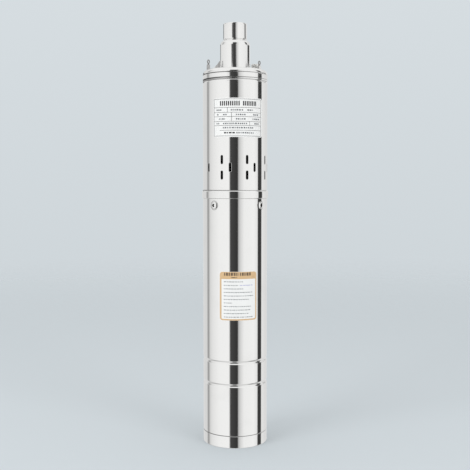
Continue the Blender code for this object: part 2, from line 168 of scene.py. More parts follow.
def noise_at(tree, place, scale, detail):
    settings = {"Vector": place, "Scale": scale, "Detail": detail}
    return add_node(tree, "ShaderNodeTexNoise", settings).outputs["Fac"]


def object_place(tree):
    return tree.nodes.new("ShaderNodeTexCoord").outputs["Object"]


def mesh_mark(tree, name):
    """A value that the mesh carries at each point."""
    return add_node(tree, "ShaderNodeAttribute", attribute_name=name).outputs["Fac"]


def split(tree, vector):
    return add_node(tree, "ShaderNodeSeparateXYZ", {0: vector}).outputs


def grey(level):
    return (level, level, level, 1.0)


# Effects that more than one material uses


def new_group(name, inputs, outputs):
    """An empty shader group: its tree, what it is given, and what it puts out."""
    tree = bpy.data.node_groups.new(name, "ShaderNodeTree")
    for socket, value in inputs.items():
        made = tree.interface.new_socket(socket, in_out="INPUT", socket_type="NodeSocketFloat")
        made.default_value = value
    for socket in outputs:
        tree.interface.new_socket(socket, in_out="OUTPUT", socket_type="NodeSocketFloat")
    return tree, tree.nodes.new("NodeGroupInput").outputs, tree.nodes.new("NodeGroupOutput").inputs


def build_polish_lines():
    """Fine lines round the body, left by polishing or turning: noise drawn out round the axis."""
    tree, given, result = new_group(
        "polish_lines", {"Across": 60.0, "Along": 2600.0}, ("Height", "Streaks")
    )
    parts = split(tree, object_place(tree))
    scales = (given["Across"], given["Across"], given["Along"])
    stretched = {number: times(tree, parts[number], scale) for number, scale in enumerate(scales)}
    place = add_node(tree, "ShaderNodeCombineXYZ", stretched).outputs[0]
    fine = noise_at(tree, place, 1.0, 3.0)
    coarse = noise_at(tree, place, 0.11, 2.0)
    both = plus(tree, times(tree, fine, 0.6), times(tree, coarse, 0.4))
    set_input(tree, result["Height"], both)
    set_input(tree, result["Streaks"], remap(tree, both, 0.35, 0.65))
    return tree


def build_smudges():
    """Soft patches where hands and water have dulled the surface."""
    tree, given, result = new_group("smudges", {"Scale": 30.0, "Cover": 0.45}, ("Mask",))
    place = object_place(tree)
    wide = noise_at(tree, place, given["Scale"], 4.0)
    small = noise_at(tree, place, times(tree, given["Scale"], 9.0), 3.0)
    edge = maths(tree, "SUBTRACT", 1.0, given["Cover"])
    patch = remap(tree, wide, edge, plus(tree, edge, 0.2), smooth=True)
    set_input(tree, result["Mask"], times(tree, patch, remap(tree, small, 0.3, 0.7, 0.4, 1.0)))
    return tree


def build_edge_wear():
    """Where handling has rubbed the edges: the mesh's own edge mark, broken up by noise."""
    tree, given, result = new_group("edge_wear", {"Edge": 0.0, "Scale": 900.0}, ("Mask",))
    specks = noise_at(tree, object_place(tree), given["Scale"], 4.0)
    set_input(tree, result["Mask"], times(tree, given["Edge"], remap(tree, specks, 0.35, 0.65, 0.2, 1.0)))
    return tree


def build_fine_grain():
    """Even fine grain, for rubber, film, ink and ceramic."""
    tree, given, result = new_group(
        "fine_grain", {"Scale": 2500.0, "Coarse Share": 0.3}, ("Height", "Tone")
    )
    place = object_place(tree)
    share = given["Coarse Share"]
    fine = noise_at(tree, place, given["Scale"], 3.0)
    coarse = noise_at(tree, place, times(tree, given["Scale"], 0.06), 4.0)
    fine_part = times(tree, fine, maths(tree, "SUBTRACT", 1.0, share))
    set_input(tree, result["Height"], plus(tree, fine_part, times(tree, coarse, share)))
    set_input(tree, result["Tone"], coarse)
    return tree


def build_screw_shade_rings():
    """Painted shade: a thin dark line round each of the four button heads."""
    tree, given, result = new_group("screw_shade_rings", {"Radius": 0.0063, "Half Width": 0.0005}, ("Mask",))
    to_screws = add_node(
        tree,
        "ShaderNodeVectorRotate",
        {"Vector": object_place(tree), "Angle": -radians(SCREW_ANGLE)},
        rotation_type="Z_AXIS",
    )
    parts = split(tree, to_screws.outputs[0])
    across = maths(tree, "MINIMUM", maths(tree, "ABSOLUTE", parts[0]), maths(tree, "ABSOLUTE", parts[1]))
    along = maths(tree, "SUBTRACT", parts[2], SCREW_HEIGHT * MM)
    distance = maths(tree, "SQRT", plus(tree, times(tree, across, across), times(tree, along, along)))
    off = maths(tree, "ABSOLUTE", maths(tree, "SUBTRACT", distance, given["Radius"]))
    set_input(tree, result["Mask"], remap(tree, off, 0.0, given["Half Width"], 1.0, 0.0, smooth=True))
    return tree


polish_lines = build_polish_lines()
smudges = build_smudges()
edge_wear = build_edge_wear()
fine_grain = build_fine_grain()
screw_shade_rings = build_screw_shade_rings()


def use_group(tree, group, **values):
    """Places a shader group. Its inputs are given by name, with _ for a blank."""
    placed = add_node(tree, "ShaderNodeGroup", node_tree=group)
    for name, value in values.items():
        set_input(tree, placed.inputs[name.replace("_", " ")], value)
    return placed.outputs


# Materials

# Near-black colour of the painted shade in joints, slot walls, screw sockets and on the rib.
PAINTED_SHADE_TONE = (0.022, 0.021, 0.02, 1.0)
# Colour of the painted shade ring round the screw heads.
SCREW_SHADE_TONE = (0.03, 0.029, 0.028, 1.0)
LINE_STRETCH = 40


def new_material(name, metallic=0.0, coat=0.0):
    made = bpy.data.materials.new(name)
    made.use_nodes = True
    shader = made.node_tree.nodes["Principled BSDF"]
    shader.inputs["Metallic"].default_value = metallic
    shader.inputs["Coat Weight"].default_value = coat
    shader.inputs["IOR"].default_value = 1.5
    return made, made.node_tree, shader


def dress(tree, shader, colour, roughness, height, strength, relief):
    """Gives a shader its colour, its roughness and its fine relief, which is in metres."""
    bump = add_node(tree, "ShaderNodeBump", {"Height": height, "Strength": strength, "Distance": relief})
    tree.links.new(colour, shader.inputs["Base Color"])
    tree.links.new(roughness, shader.inputs["Roughness"])
    tree.links.new(bump.outputs["Normal"], shader.inputs["Normal"])


def metal(name, tone, dull_tone, roughness, dulling, lines_per_metre, relief, rings=0.0):
    """Bare steel: turning or polishing lines, soft smudges, edges rubbed a little brighter, and painted shade
    in joints and recesses.
    """
    made, tree, shader = new_material(name, metallic=1.0)
    lines = use_group(tree, polish_lines, Across=lines_per_metre / LINE_STRETCH, Along=lines_per_metre)
    marks = use_group(tree, smudges, Scale=26.0, Cover=0.47)["Mask"]
    wear = use_group(tree, edge_wear, Edge=mesh_mark(tree, "edge"))["Mask"]
    painted_shade = mesh_mark(tree, "painted_shade")
    colour = blend_colours(tree, times(tree, marks, 0.6), tone, dull_tone)
    colour = blend_colours(tree, times(tree, wear, 0.35), colour, grey(0.9))
    # Painted shade: darkens joints, slot walls, screw sockets and the rib.
    colour = blend_colours(tree, painted_shade, colour, PAINTED_SHADE_TONE)
    # Painted shade: a thin dark ring round each screw head.
    if rings:
        screw_shade = times(tree, use_group(tree, screw_shade_rings)["Mask"], rings)
        colour = blend_colours(tree, screw_shade, colour, SCREW_SHADE_TONE)
    finish = remap(tree, lines["Streaks"], 0.0, 1.0, roughness * 0.85, roughness * 1.15)
    for mask, rougher in ((marks, dulling), (wear, 0.05), (painted_shade, 0.5)):
        finish = plus(tree, finish, times(tree, mask, rougher))
    dress(tree, shader, colour, finish, lines["Height"], 1.0, relief)
    return made


def rubber_look():
    made, tree, shader = new_material("moulded_rubber")
    grain = use_group(tree, fine_grain, Scale=2200.0)
    marks = use_group(tree, smudges, Scale=60.0, Cover=0.4)["Mask"]
    colour = blend_colours(tree, grain["Tone"], grey(0.012), (0.026, 0.026, 0.027, 1.0))
    colour = blend_colours(tree, times(tree, marks, 0.3), colour, grey(0.06))
    roughness = remap(tree, marks, 0.0, 1.0, 0.55, 0.75)
    dress(tree, shader, colour, roughness, grain["Height"], 0.5, 0.00006)
    return made


def film_look(name, tone, worn_tone):
    """Printed plastic film: a faint orange-peel surface, a little yellowed in patches."""
    made, tree, shader = new_material(name, coat=0.25)
    shader.inputs["Coat Roughness"].default_value = 0.2
    grain = use_group(tree, fine_grain, Scale=1400.0, Coarse_Share=0.5)
    marks = use_group(tree, smudges, Scale=45.0, Cover=0.42)["Mask"]
    wear = use_group(tree, edge_wear, Edge=mesh_mark(tree, "edge"), Scale=1500.0)["Mask"]
    colour = blend_colours(tree, times(tree, marks, 0.35), tone, worn_tone)
    colour = blend_colours(tree, times(tree, wear, 0.4), colour, worn_tone)
    roughness = remap(tree, grain["Tone"], 0.3, 0.7, 0.32, 0.48)
    dress(tree, shader, colour, roughness, grain["Height"], 0.3, 0.00003)
    return made


def ink_look(name, tone, faded_tone):
    """Screen-printed ink, slightly uneven in cover."""
    made, tree, shader = new_material(name)
    grain = use_group(tree, fine_grain, Scale=3200.0, Coarse_Share=0.4)
    colour = blend_colours(tree, remap(tree, grain["Height"], 0.35, 0.7), tone, faded_tone)
    roughness = remap(tree, grain["Tone"], 0.3, 0.7, 0.4, 0.6)
    dress(tree, shader, colour, roughness, grain["Height"], 0.3, 0.00002)
    return made


def ceramic_look():
    made, tree, shader = new_material("ground_ceramic", coat=0.1)
    grain = use_group(tree, fine_grain, Scale=4000.0, Coarse_Share=0.2)
    colour = blend_colours(tree, grain["Tone"], (0.66, 0.63, 0.55, 1.0), (0.8, 0.78, 0.72, 1.0))
    roughness = remap(tree, grain["Height"], 0.3, 0.7, 0.22, 0.4)
    dress(tree, shader, colour, roughness, grain["Height"], 0.4, 0.00003)
    return made


# For metal: tone, dull tone, roughness, how much rougher smudges are, lines per metre, relief in metres.
POLISH = ((0.83, 0.83, 0.82, 1), (0.78, 0.78, 0.77, 1), 0.055, 0.05, 2600, 0.0000006)
TURNING = ((0.64, 0.64, 0.63, 1), (0.56, 0.55, 0.54, 1), 0.26, 0.1, 1300, 0.000006)
SATIN = ((0.93, 0.93, 0.91, 1), (0.87, 0.87, 0.85, 1), 0.62, 0.06, 1300, 0.000003)
DARK = ((0.27, 0.27, 0.27, 1), (0.22, 0.22, 0.22, 1), 0.24, 0.1, 1300, 0.000006)
polished_steel = metal("polished_steel", *POLISH)
# The housing carries the painted shade rings round its screws.
housing_steel = metal("housing_steel", *POLISH, rings=0.95)
turned_steel = metal("turned_steel", *TURNING)
satin_steel = metal("satin_steel", *SATIN)
dark_steel = metal("dark_steel", *DARK)
rubber = rubber_look()
white_film = film_look("white_film", (0.93, 0.93, 0.92, 1), (0.87, 0.86, 0.83, 1))
black_ink = ink_look("black_ink", (0.02, 0.02, 0.022, 1), (0.07, 0.07, 0.072, 1))
grey_ink = ink_look("grey_ink", (0.13, 0.14, 0.15, 1), (0.26, 0.27, 0.28, 1))
blue_ink = ink_look("blue_ink", (0.3, 0.3, 0.6, 1), (0.42, 0.42, 0.68, 1))
brown_ink = ink_look("brown_ink", (0.12, 0.075, 0.045, 1), (0.22, 0.15, 0.09, 1))
orange_ink = ink_look("orange_ink", (0.68, 0.44, 0.22, 1), (0.76, 0.54, 0.32, 1))
ceramic = ceramic_look()


# Mesh helpers


def mark_edges(bm):
    """Marks each point by how sharply the surface turns outwards there, for the wear on edges."""
    layer = bm.verts.layers.float.new("edge")
    for vert in bm.verts:
        turn = max((edge.calc_face_angle_signed(0.0) for edge in vert.link_edges), default=0.0)
        vert[layer] = min(max(turn, 0.0) / radians(WORN_ANGLE), 1.0)


# How much painted shade darkens the joint above each of these pieces, at the far left and at the far right.
JOINT_SHADES = {
    "bottom_cap": (0.45, 0.45),
    "motor_housing": (0.0, 0.0),
    "joint_ring": (0.5, 0.0),
    "pump_barrel": (0.4, 0.0),
    "barrel_bead": (0.95, 0.45),
    "head_rim": (1.0, 0.3),
}
JOINTS = [(heights(node)[1] + SEAM / 2, shades) for node, shades in JOINT_SHADES.items()]
# How far the full painted shade reaches from a joint, at the far left and right, and how far it then fades.
JOINT_DARK = (0.4, 0.1)
FADE_ABOVE = 0.45
FADE_BELOW = 0.2


def mark_painted_shade(bm, more=None):
    """Marks each point by how much painted shade darkens it at a joint between two tubes, adding any painted
    shade that more gives.
    """
    layer = bm.verts.layers.float.new("painted_shade")
    for vert in bm.verts:
        x, y, z = vert.co
        depth = 0.0
        if sqrt(x * x + y * y) > SOCKET_R - 1:
            height, (left, right) = min(JOINTS, key=lambda joint: abs(z - joint[0]))
            across = (1 + x / RING_R) / 2
            shade = left + (right - left) * across
            dark = JOINT_DARK[0] + (JOINT_DARK[1] - JOINT_DARK[0]) * across
            fade = FADE_ABOVE if z > height else FADE_BELOW
            depth = shade * (1 - (abs(z - height) - dark) / fade)
        if more:
            depth = max(depth, more(vert.co))
        vert[layer] = min(max(depth, 0.0), 1.0)


def add_object(name, data):
    made = bpy.data.objects.new(name, data)
    bpy.context.scene.collection.objects.link(made)
    return made


def finished_piece(name, bm, look, slot, *nodes, painted_shade=None):
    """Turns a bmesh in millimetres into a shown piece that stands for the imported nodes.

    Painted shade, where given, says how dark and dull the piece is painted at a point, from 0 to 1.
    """
    bmesh.ops.remove_doubles(bm, verts=bm.verts, dist=1e-5)
    bmesh.ops.recalc_face_normals(bm, faces=bm.faces)
    mark_edges(bm)
    mark_painted_shade(bm, painted_shade)
    bmesh.ops.scale(bm, vec=(MM, MM, MM), verts=bm.verts)
    mesh = bpy.data.meshes.new(name)
    bm.to_mesh(mesh)
    bm.free()
    mesh.shade_smooth()
    mesh.set_sharp_from_angle(angle=radians(SHARP_ANGLE))
    mesh.materials.append(look)
    piece = add_object(name, mesh)
    piece.modifiers.new("flats", "WEIGHTED_NORMAL").keep_sharp = True
    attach(piece, BODY)
    if nodes:
        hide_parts(*nodes)


def skin(bm, rings, joined=False, capped=False):
    """Faces over rings of points. Joined closes the last ring onto the first; capped shuts both ends."""
    levels = [[bm.verts.new(point) for point in ring] for ring in rings]
    count = len(levels[0])
    pairs = list(zip(levels, levels[1:]))
    if joined:
        pairs.append((levels[-1], levels[0]))
    for low, high in pairs:
        for i in range(count):
            j = (i + 1) % count
            bm.faces.new((low[i], low[j], high[j], high[i]))
    if capped:
        bm.faces.new(levels[0])
        bm.faces.new(levels[-1])


def skinned(rings, **closing):
    bm = bmesh.new()
    skin(bm, rings, **closing)
    return bm


def with_supports(profile):
    """Adds a point near each end of every long stretch, so that flats stay flat beside rounded edges."""
    points = []
    for (r, z), (next_r, next_z) in zip(profile, profile[1:] + profile[:1]):
        points.append((r, z))
        length = sqrt((next_r - r) ** 2 + (next_z - z) ** 2)
        if length > 3 * SUPPORT_GAP:
            share = SUPPORT_GAP / length
            points.append((r + (next_r - r) * share, z + (next_z - z) * share))
            points.append((next_r - (next_r - r) * share, next_z - (next_z - z) * share))
    return points


def circle(radius, height, count, middle=(0.0, 0.0), lean=0.0):
    points = []
    for number in range(count):
        turn = 2 * pi * number / count + lean
        points.append((middle[0] + radius * cos(turn), middle[1] + radius * sin(turn), height))
    return points


def circles(profile, count, middle=(0.0, 0.0)):
    return [circle(radius, height, count, middle) for radius, height in profile]


def hexagon(apothem, middle=(0.0, 0.0), lean=0.0):
    """Points round a hexagon, as x, y and the distance from its middle."""
    points = []
    for number in range(SMALL_ROUND):
        turn = 2 * pi * number / SMALL_ROUND
        radius = apothem / cos(turn % (pi / 3) - pi / 6)
        points.append((middle[0] + radius * cos(turn + lean), middle[1] + radius * sin(turn + lean), radius))
    return points


def turned_body(profile, count, middle=(0.0, 0.0)):
    """A body of revolution from a closed outline of (radius, height)."""
    return skinned(circles(with_supports(profile), count, middle), joined=True)


def turned(name, profile, look, slot, *nodes, count=ROUND, middle=(0.0, 0.0)):
    finished_piece(name, turned_body(profile, count, middle), look, slot, *nodes)


def levels_between(bottom, top, step):
    count = ceil((top - bottom) / step)
    return [bottom + (top - bottom) * i / count for i in range(count + 1)]


# Motor section


def make_band(name, node, below, inner_r, outer_r, lower, upper):
    """A plain tube or disc. Lower and upper are its edges' rounding and how many steps that takes."""
    bottom, top = heights(node)
    if below:
        bottom = heights(below)[1] + SEAM
    profile = [(inner_r, bottom)]
    profile += lower_edge(outer_r, bottom, *lower) + upper_edge(outer_r, top, *upper)
    profile += [(inner_r, top)]
    turned(name, profile, polished_steel, POLISHED, node)


GROOVE_HEIGHTS = (89.0, 121.6)
GROOVE_DEPTH = 1.3
GROOVE_HALF_WIDTH = 3.2
GROOVE_STEPS = 24

SCREW_HEAD_R = 5.25
SCREW_HEAD_HEIGHT = 1.8
SCREW_SHANK_R = 3.0
SCREW_SHANK_LENGTH = 11.0
SCREW_SOCKET = 2.0
SCREW_SOCKET_DEPTH = 1.6
SCREW_COUNT = 4


def groove_points(height):
    """A rolled groove's outline, from its lower edge up."""
    points = []
    for step in range(GROOVE_STEPS + 1):
        along = -1 + 2 * step / GROOVE_STEPS
        depth = GROOVE_DEPTH * (1 + cos(pi * along)) / 2
        points.append((BODY_R - depth, height + along * GROOVE_HALF_WIDTH))
    return points


def make_motor_housing():
    bottom = heights("bottom_cap")[1] + SEAM
    top = heights("motor_housing")[1]
    profile = [(0.0, bottom)] + lower_edge(BODY_R, bottom, 0.9)
    for height in GROOVE_HEIGHTS:
        profile += groove_points(height)
    profile += upper_edge(BODY_R, top, 0.4) + [(0.0, top)]
    turned("motor_housing_shell", profile, housing_steel, POLISHED, "motor_housing")


def make_head_screw(number):
    """A button head with a hexagon socket, drawn pointing up and then laid with its head outwards."""
    socket_floor = SCREW_HEAD_HEIGHT - SCREW_SOCKET_DEPTH
    outline = [(0.0, -SCREW_SHANK_LENGTH), (SCREW_SHANK_R, -SCREW_SHANK_LENGTH), (SCREW_SHANK_R, 0.0)]
    outline += [(SCREW_HEAD_R - 0.35, 0.0), (SCREW_HEAD_R - 0.05, 0.3)]
    outline += arc(0, 0, SCREW_HEAD_R, SCREW_HEAD_HEIGHT, 14, 60, 12)
    rings = circles(outline, SMALL_ROUND)
    for apothem, height in (
        (SCREW_SOCKET + 0.18, SCREW_HEAD_HEIGHT - 0.22),
        (SCREW_SOCKET, SCREW_HEAD_HEIGHT - 0.45),
        (SCREW_SOCKET, socket_floor),
    ):
        rings.append([(x, y, height) for x, y, _ in hexagon(apothem)])
    rings += circles([(1.5, socket_floor - 0.3), (0.0, socket_floor - 0.8)], SMALL_ROUND)
    bm = skinned(rings)
    angle = SCREW_ANGLE + 360 / SCREW_COUNT * (number - 1)
    lay = around(angle, 1, 0).to_track_quat("Z", "Y").to_matrix().to_4x4()
    lay.translation = around(angle, BODY_R + FIT, SCREW_HEIGHT)
    bmesh.ops.transform(bm, matrix=lay, verts=bm.verts)
    stand = lay.inverted()

    def shade(place):
        """Painted shade in the socket, and a little at the foot of the head."""
        x, y, lift = stand @ place
        radius = sqrt(x * x + y * y)
        sunk = SCREW_HEAD_HEIGHT - 0.3 - lift if radius < SCREW_SOCKET + 0.4 else 0.0
        rim = min((radius - SCREW_HEAD_R + 0.6) / 0.3, 0.25)
        return max(sunk / 0.2, rim)

    name = f"button_screw_{number}"
    finished_piece(name, bm, polished_steel, POLISHED, f"head_screw_{number}", painted_shade=shade)


def make_motor_head():
    bottom, top = heights("motor_head")
    flange_top = top - 2.0
    boss_r = 18.0
    hole_r = SHAFT_R + FIT
    hole_bottom = heights("motor_shaft")[0] - FIT
    profile = [(0.0, bottom), (SOCKET_R, bottom), (SOCKET_R, flange_top - 1), (SOCKET_R - 1, flange_top)]
    profile += [(boss_r, flange_top), (boss_r, top - 0.5), (boss_r - 0.5, top), (hole_r, top)]
    profile += [(hole_r, hole_bottom), (0.0, hole_bottom)]
    turned("motor_head_casting", profile, turned_steel, TURNED, "motor_head", count=HIDDEN_ROUND)


# Pump section

# The barrel is a grid of columns and rows. A slot's cell is 6 columns wide and 12 rows high.
BARREL_ROUND = 288
BARREL_TOP_INSET = 0.9
BARREL_TOP_DROP = 2.2
SLOT_GROUPS = 8
PAIRLESS_GROUPS = (4, 7)
SLOT_WIDTH = 3.4
SLOT_LENGTH = 12.4
SLOT_MIDDLE = 395.4
SLOT_STEP = 10.7
SLOT_ROWS = 8
SLOT_HALF_ROWS = 6
SLOT_HALF_COLUMNS = 3
SLOT_LIP = 0.4
SLOT_SHADE_DEPTH = 0.22
SLOT_SHADE_FADE = 0.1
PAIR_COLUMN = -19
SINGLE_COLUMN = -7


def slot_cells():
    """Middle column and middle row, in grid steps, of every intake slot."""
    cells = []
    for group in range(SLOT_GROUPS):
        turn = BARREL_ROUND // SLOT_GROUPS * group
        cells.append((SINGLE_COLUMN + turn, 0))
        if group not in PAIRLESS_GROUPS:
            cells.append((PAIR_COLUMN + turn, SLOT_ROWS))
            cells.append((PAIR_COLUMN + turn, -SLOT_ROWS))
    return cells


def cell_border(column, row):
    """Grid positions round a slot's cell, once round."""
    left, right = column - SLOT_HALF_COLUMNS, column + SLOT_HALF_COLUMNS
    low, high = row - SLOT_HALF_ROWS, row + SLOT_HALF_ROWS
    border = [(c, low) for c in range(left, right)]
    border += [(right, r) for r in range(low, high)]
    border += [(c, high) for c in range(right, left, -1)]
    border += [(left, r) for r in range(high, low, -1)]
    return border


def make_pump_barrel():
    """A tube whose grid leaves a cell open round each slot; rings run from the cell to the slot's edge."""
    bottom = heights("joint_ring")[1] + SEAM
    top = heights("pump_barrel")[1]
    edge = 0.5
    step = SLOT_STEP / SLOT_ROWS
    last_row = SLOT_ROWS + SLOT_HALF_ROWS
    slot_levels = [SLOT_MIDDLE + row * step for row in range(-last_row, last_row + 1)]
    profile = lower_edge(BODY_R, bottom, edge) + [(BODY_R, bottom + 2 * edge)]
    first_outer = len(profile)
    profile += [(BODY_R, z) for z in slot_levels] + [(BODY_R, top - BARREL_TOP_DROP - 1)]
    profile += arc(
        BODY_R - BARREL_TOP_INSET, top - BARREL_TOP_DROP, BARREL_TOP_INSET, BARREL_TOP_DROP, 0, 90, 14
    )
    profile += [(INNER_R, top)]
    first_inner = len(profile)
    profile += [(INNER_R, z) for z in reversed(slot_levels)] + [(INNER_R, bottom)]
    angles = [360 / BARREL_ROUND * column for column in range(BARREL_ROUND)]
    bm = bmesh.new()
    levels = []
    for radius, height in profile:
        levels.append([bm.verts.new(around(angle, radius, height)) for angle in angles])

    def outer(column, row):
        return levels[first_outer + row + last_row][column % BARREL_ROUND]

    def inner(column, row):
        return levels[first_inner + last_row - row][column % BARREL_ROUND]

    opened = set()
    for column, row in slot_cells():
        for c in range(column - SLOT_HALF_COLUMNS, column + SLOT_HALF_COLUMNS):
            for r in range(row - SLOT_HALF_ROWS, row + SLOT_HALF_ROWS):
                opened.add((first_outer + r + last_row, c % BARREL_ROUND))
                opened.add((first_inner + last_row - r - 1, c % BARREL_ROUND))
    for level, low in enumerate(levels):
        high = levels[(level + 1) % len(levels)]
        for column in range(BARREL_ROUND):
            if (level, column) not in opened:
                after = (column + 1) % BARREL_ROUND
                bm.faces.new((low[column], low[after], high[after], high[column]))

    half_width = SLOT_WIDTH / 2
    half_straight = (SLOT_LENGTH - SLOT_WIDTH) / 2
    mm_per_column = 2 * pi * BODY_R / BARREL_ROUND
    offsets = [(SLOT_LIP + 0.45, BODY_R), (SLOT_LIP + 0.1, BODY_R)]
    offsets += arc(SLOT_LIP, BODY_R - SLOT_LIP, SLOT_LIP, SLOT_LIP, 90, 180, 5)
    offsets += [(0.0, INNER_R + 0.1), (0.0, INNER_R)]
    for column, row in slot_cells():
        border = cell_border(column, row)
        rings = [[outer(*place) for place in border]]
        for offset, radius in offsets:
            ring = []
            for place_column, place_row in border:
                x = (place_column - column) * mm_per_column
                z = (place_row - row) * step
                nearest = max(-half_straight, min(half_straight, z))
                away = Vector((x, z - nearest)).normalized() * (half_width + offset)
                angle = 360 / BARREL_ROUND * column + degrees(away.x / BODY_R)
                height = SLOT_MIDDLE + row * step + nearest + away.y
                ring.append(bm.verts.new(around(angle, radius, height)))
            rings.append(ring)
        rings.append([inner(*place) for place in border])
        for wide, narrow in zip(rings, rings[1:]):
            for i in range(len(border)):
                j = (i + 1) % len(border)
                bm.faces.new((wide[i], wide[j], narrow[j], narrow[i]))

    def slot_wall_shade(place):
        """Painted shade darkens the cut walls of the slots and the inside of the tube, and dulls them."""
        if not bottom + 1 < place.z < top - BARREL_TOP_DROP:
            return 0.0
        return (BODY_R - SLOT_SHADE_DEPTH - sqrt(place.x ** 2 + place.y ** 2)) / SLOT_SHADE_FADE

    finished_piece("pump_barrel_tube", bm, polished_steel, POLISHED, "pump_barrel", painted_shade=slot_wall_shade)


def make_stator():
    bottom, top = heights("stator_tube")
    inside_r = RUBBER_R + FIT
    profile = [(inside_r, bottom), (STATOR_R, bottom), (STATOR_R, top - 0.4), (STATOR_R - 0.4, top)]
    profile += [(inside_r, top)]
    turned("stator_sleeve", profile, turned_steel, TURNED, "stator_tube", count=HIDDEN_ROUND)


ROTOR_R = 9.5
ROTOR_OFFSET = 3.2
ROTOR_PITCH = 32.0
ROTOR_CLEARANCE = 0.8
ROD_R = 5.5


def rotor_middle(height):
    turn = 2 * pi * height / ROTOR_PITCH
    return ROTOR_OFFSET * (1 + cos(turn)), ROTOR_OFFSET * sin(turn)


def make_screw_rotor():
    """A round bar whose middle winds round the rotor's own axis once in each pitch."""
    bottom, top = heights("screw_rotor")
    edge = 0.6
    rings = [circle(ROTOR_R - edge, bottom, SMALL_ROUND, rotor_middle(bottom))]
    for height in levels_between(bottom + edge, top - edge, 1.0):
        rings.append(circle(ROTOR_R, height, SMALL_ROUND, rotor_middle(height)))
    rings.append(circle(ROTOR_R - edge, top, SMALL_ROUND, rotor_middle(top)))
    finished_piece("screw_rotor_bar", skinned(rings, capped=True), turned_steel, TURNED, "screw_rotor")


def make_stator_rubber():
    """The rubber lining: a round outside and a twisting double-ended slot inside."""
    bottom, top = heights("stator_rubber")
    radius = ROTOR_R + ROTOR_CLEARANCE
    reach = 2 * ROTOR_OFFSET
    mouth = 0.4
    outline = arc(reach, 0, radius, radius, -90, 90, 22)
    outline += [(reach * share, radius) for share in (0.5, 0.0, -0.5)]
    outline += arc(-reach, 0, radius, radius, 90, 270, 22)
    outline += [(reach * share, -radius) for share in (-0.5, 0.0, 0.5)]

    def hole(height, grow=0.0):
        turn = Matrix.Rotation(pi * height / ROTOR_PITCH, 3, "Z")
        scale = 1 + grow / radius
        return [turn @ Vector((x * scale, y * scale, height)) for x, y in outline]

    def outside(height):
        points = []
        for point in hole(height):
            flat = Vector((point.x, point.y)).normalized() * RUBBER_R
            points.append((flat.x, flat.y, height))
        return points

    rings = [hole(height) for height in levels_between(bottom, top - mouth, 1.2)]
    rings += [hole(top, mouth), outside(top), outside(bottom)]
    finished_piece("stator_lining", skinned(rings, joined=True), rubber, "black_rubber", "stator_rubber")


def make_drive():
    """Coupling rod, shaft coupling, seal and motor shaft, seen faintly through the slots."""
    bottom, top = heights("coupling_rod")
    rings = [circle(ROD_R, bottom, THIN_ROUND), circle(ROD_R, top, THIN_ROUND, rotor_middle(top + FIT))]
    finished_piece("slanting_rod", skinned(rings, capped=True), turned_steel, TURNED, "coupling_rod")
    bottom, top = heights("shaft_coupling")
    shaft_bottom, shaft_top = heights("motor_shaft")
    bore_r = SHAFT_R + FIT
    profile = [(bore_r, bottom), (12.5, bottom), (13.0, bottom + 0.5), (13.0, top - 1), (12.0, top)]
    profile += [(0.0, top), (0.0, shaft_top + FIT), (bore_r, shaft_top + FIT)]
    turned("coupling_sleeve", profile, turned_steel, TURNED, "shaft_coupling", count=MEDIUM_ROUND)
    bottom, top = heights("mechanical_seal")
    profile = [(bore_r, bottom), (15.0, bottom), (15.0, top - 2), (12.5, top - 2), (12.5, top), (bore_r, top)]
    turned("seal_rings", profile, ceramic, "seal_ceramic", "mechanical_seal", count=MEDIUM_ROUND)
    profile = [(0.0, shaft_bottom), (SHAFT_R, shaft_bottom), (SHAFT_R, shaft_top), (0.0, shaft_top)]
    turned("drive_shaft", profile, turned_steel, TURNED, "motor_shaft", count=MEDIUM_ROUND)


# Outlet head

DOME_R = 400.0
DOME_CENTRE = 135.3
DOME_EDGE_R = 45.9
DOME_ROUNDING = 6.0
DOME_STEPS = 24
DOME_LIP = 0.35
FOOT_FILLET = 0.6
FOOT_SINK = 0.25
NECK_TOP = 568.0
PASSAGE_R = 12.2
SPIGOT_R = 15.2
SPIGOT_BOTTOM = 562.0
CHAMBER_R = 17.0
CHAMBER_TOP = 548.0
CHAMBER_CONE = 6.0

# The rib runs along a curve from the first point to the last, drawn towards the middle one.
RIB_START = (19.5, 552.4)
RIB_BEND = (23.6, 542.2)
RIB_END = (35.5, 533.9)
RIB_TOP_HALF = 1.1
RIB_SPREAD = 0.3
RIB_FILLET = 1.6
RIB_STEPS = 36
# Painted shade on the rib: its strength, where it ends and how far it fades, its reach to each side, and more
# painted shade in its corner with the neck.
RIB_SHADE = 0.5
RIB_SHADE_END = 30.0
RIB_SHADE_FADE = 5.0
RIB_SHADE_HALF_WIDTH = 6.0
RIB_CORNER_R = 25.0
RIB_CORNER_SHADE = 0.06

EYE_PLACES = {"left": (-38.0, -2.7), "right": (34.7, 9.0)}
EYE_BOSS_TOP = 534.2
EYE_BOSS_R = 3.2
EYE_CENTRE = 545.9
EYE_LOOP_R = 2.5
EYE_WIRE_R = 0.8
EYE_SHANK_R = 1.3
EYE_SHANK_DEPTH = 6.0
EYE_PLANE_TURN = 60.0
EYE_NUT_R = 2.6
EYE_NUT_TURN = 20.0

GLAND_PLACE = (29.1, 20.9)
GLAND_BOSS_TOP = 537.1
GLAND_BOSS_R = 7.4
GLAND_HEXAGON_R = 7.2
GLAND_HEXAGON_TURN = 10.0
GLAND_BORE_R = 3.3
GLAND_SPIGOT_R = 4.5
GLAND_SPIGOT_DEPTH = 8.0


def dome_height(radius):
    """Height of the head's domed top at this distance from the axis."""
    return DOME_CENTRE + sqrt(DOME_R ** 2 - radius ** 2)


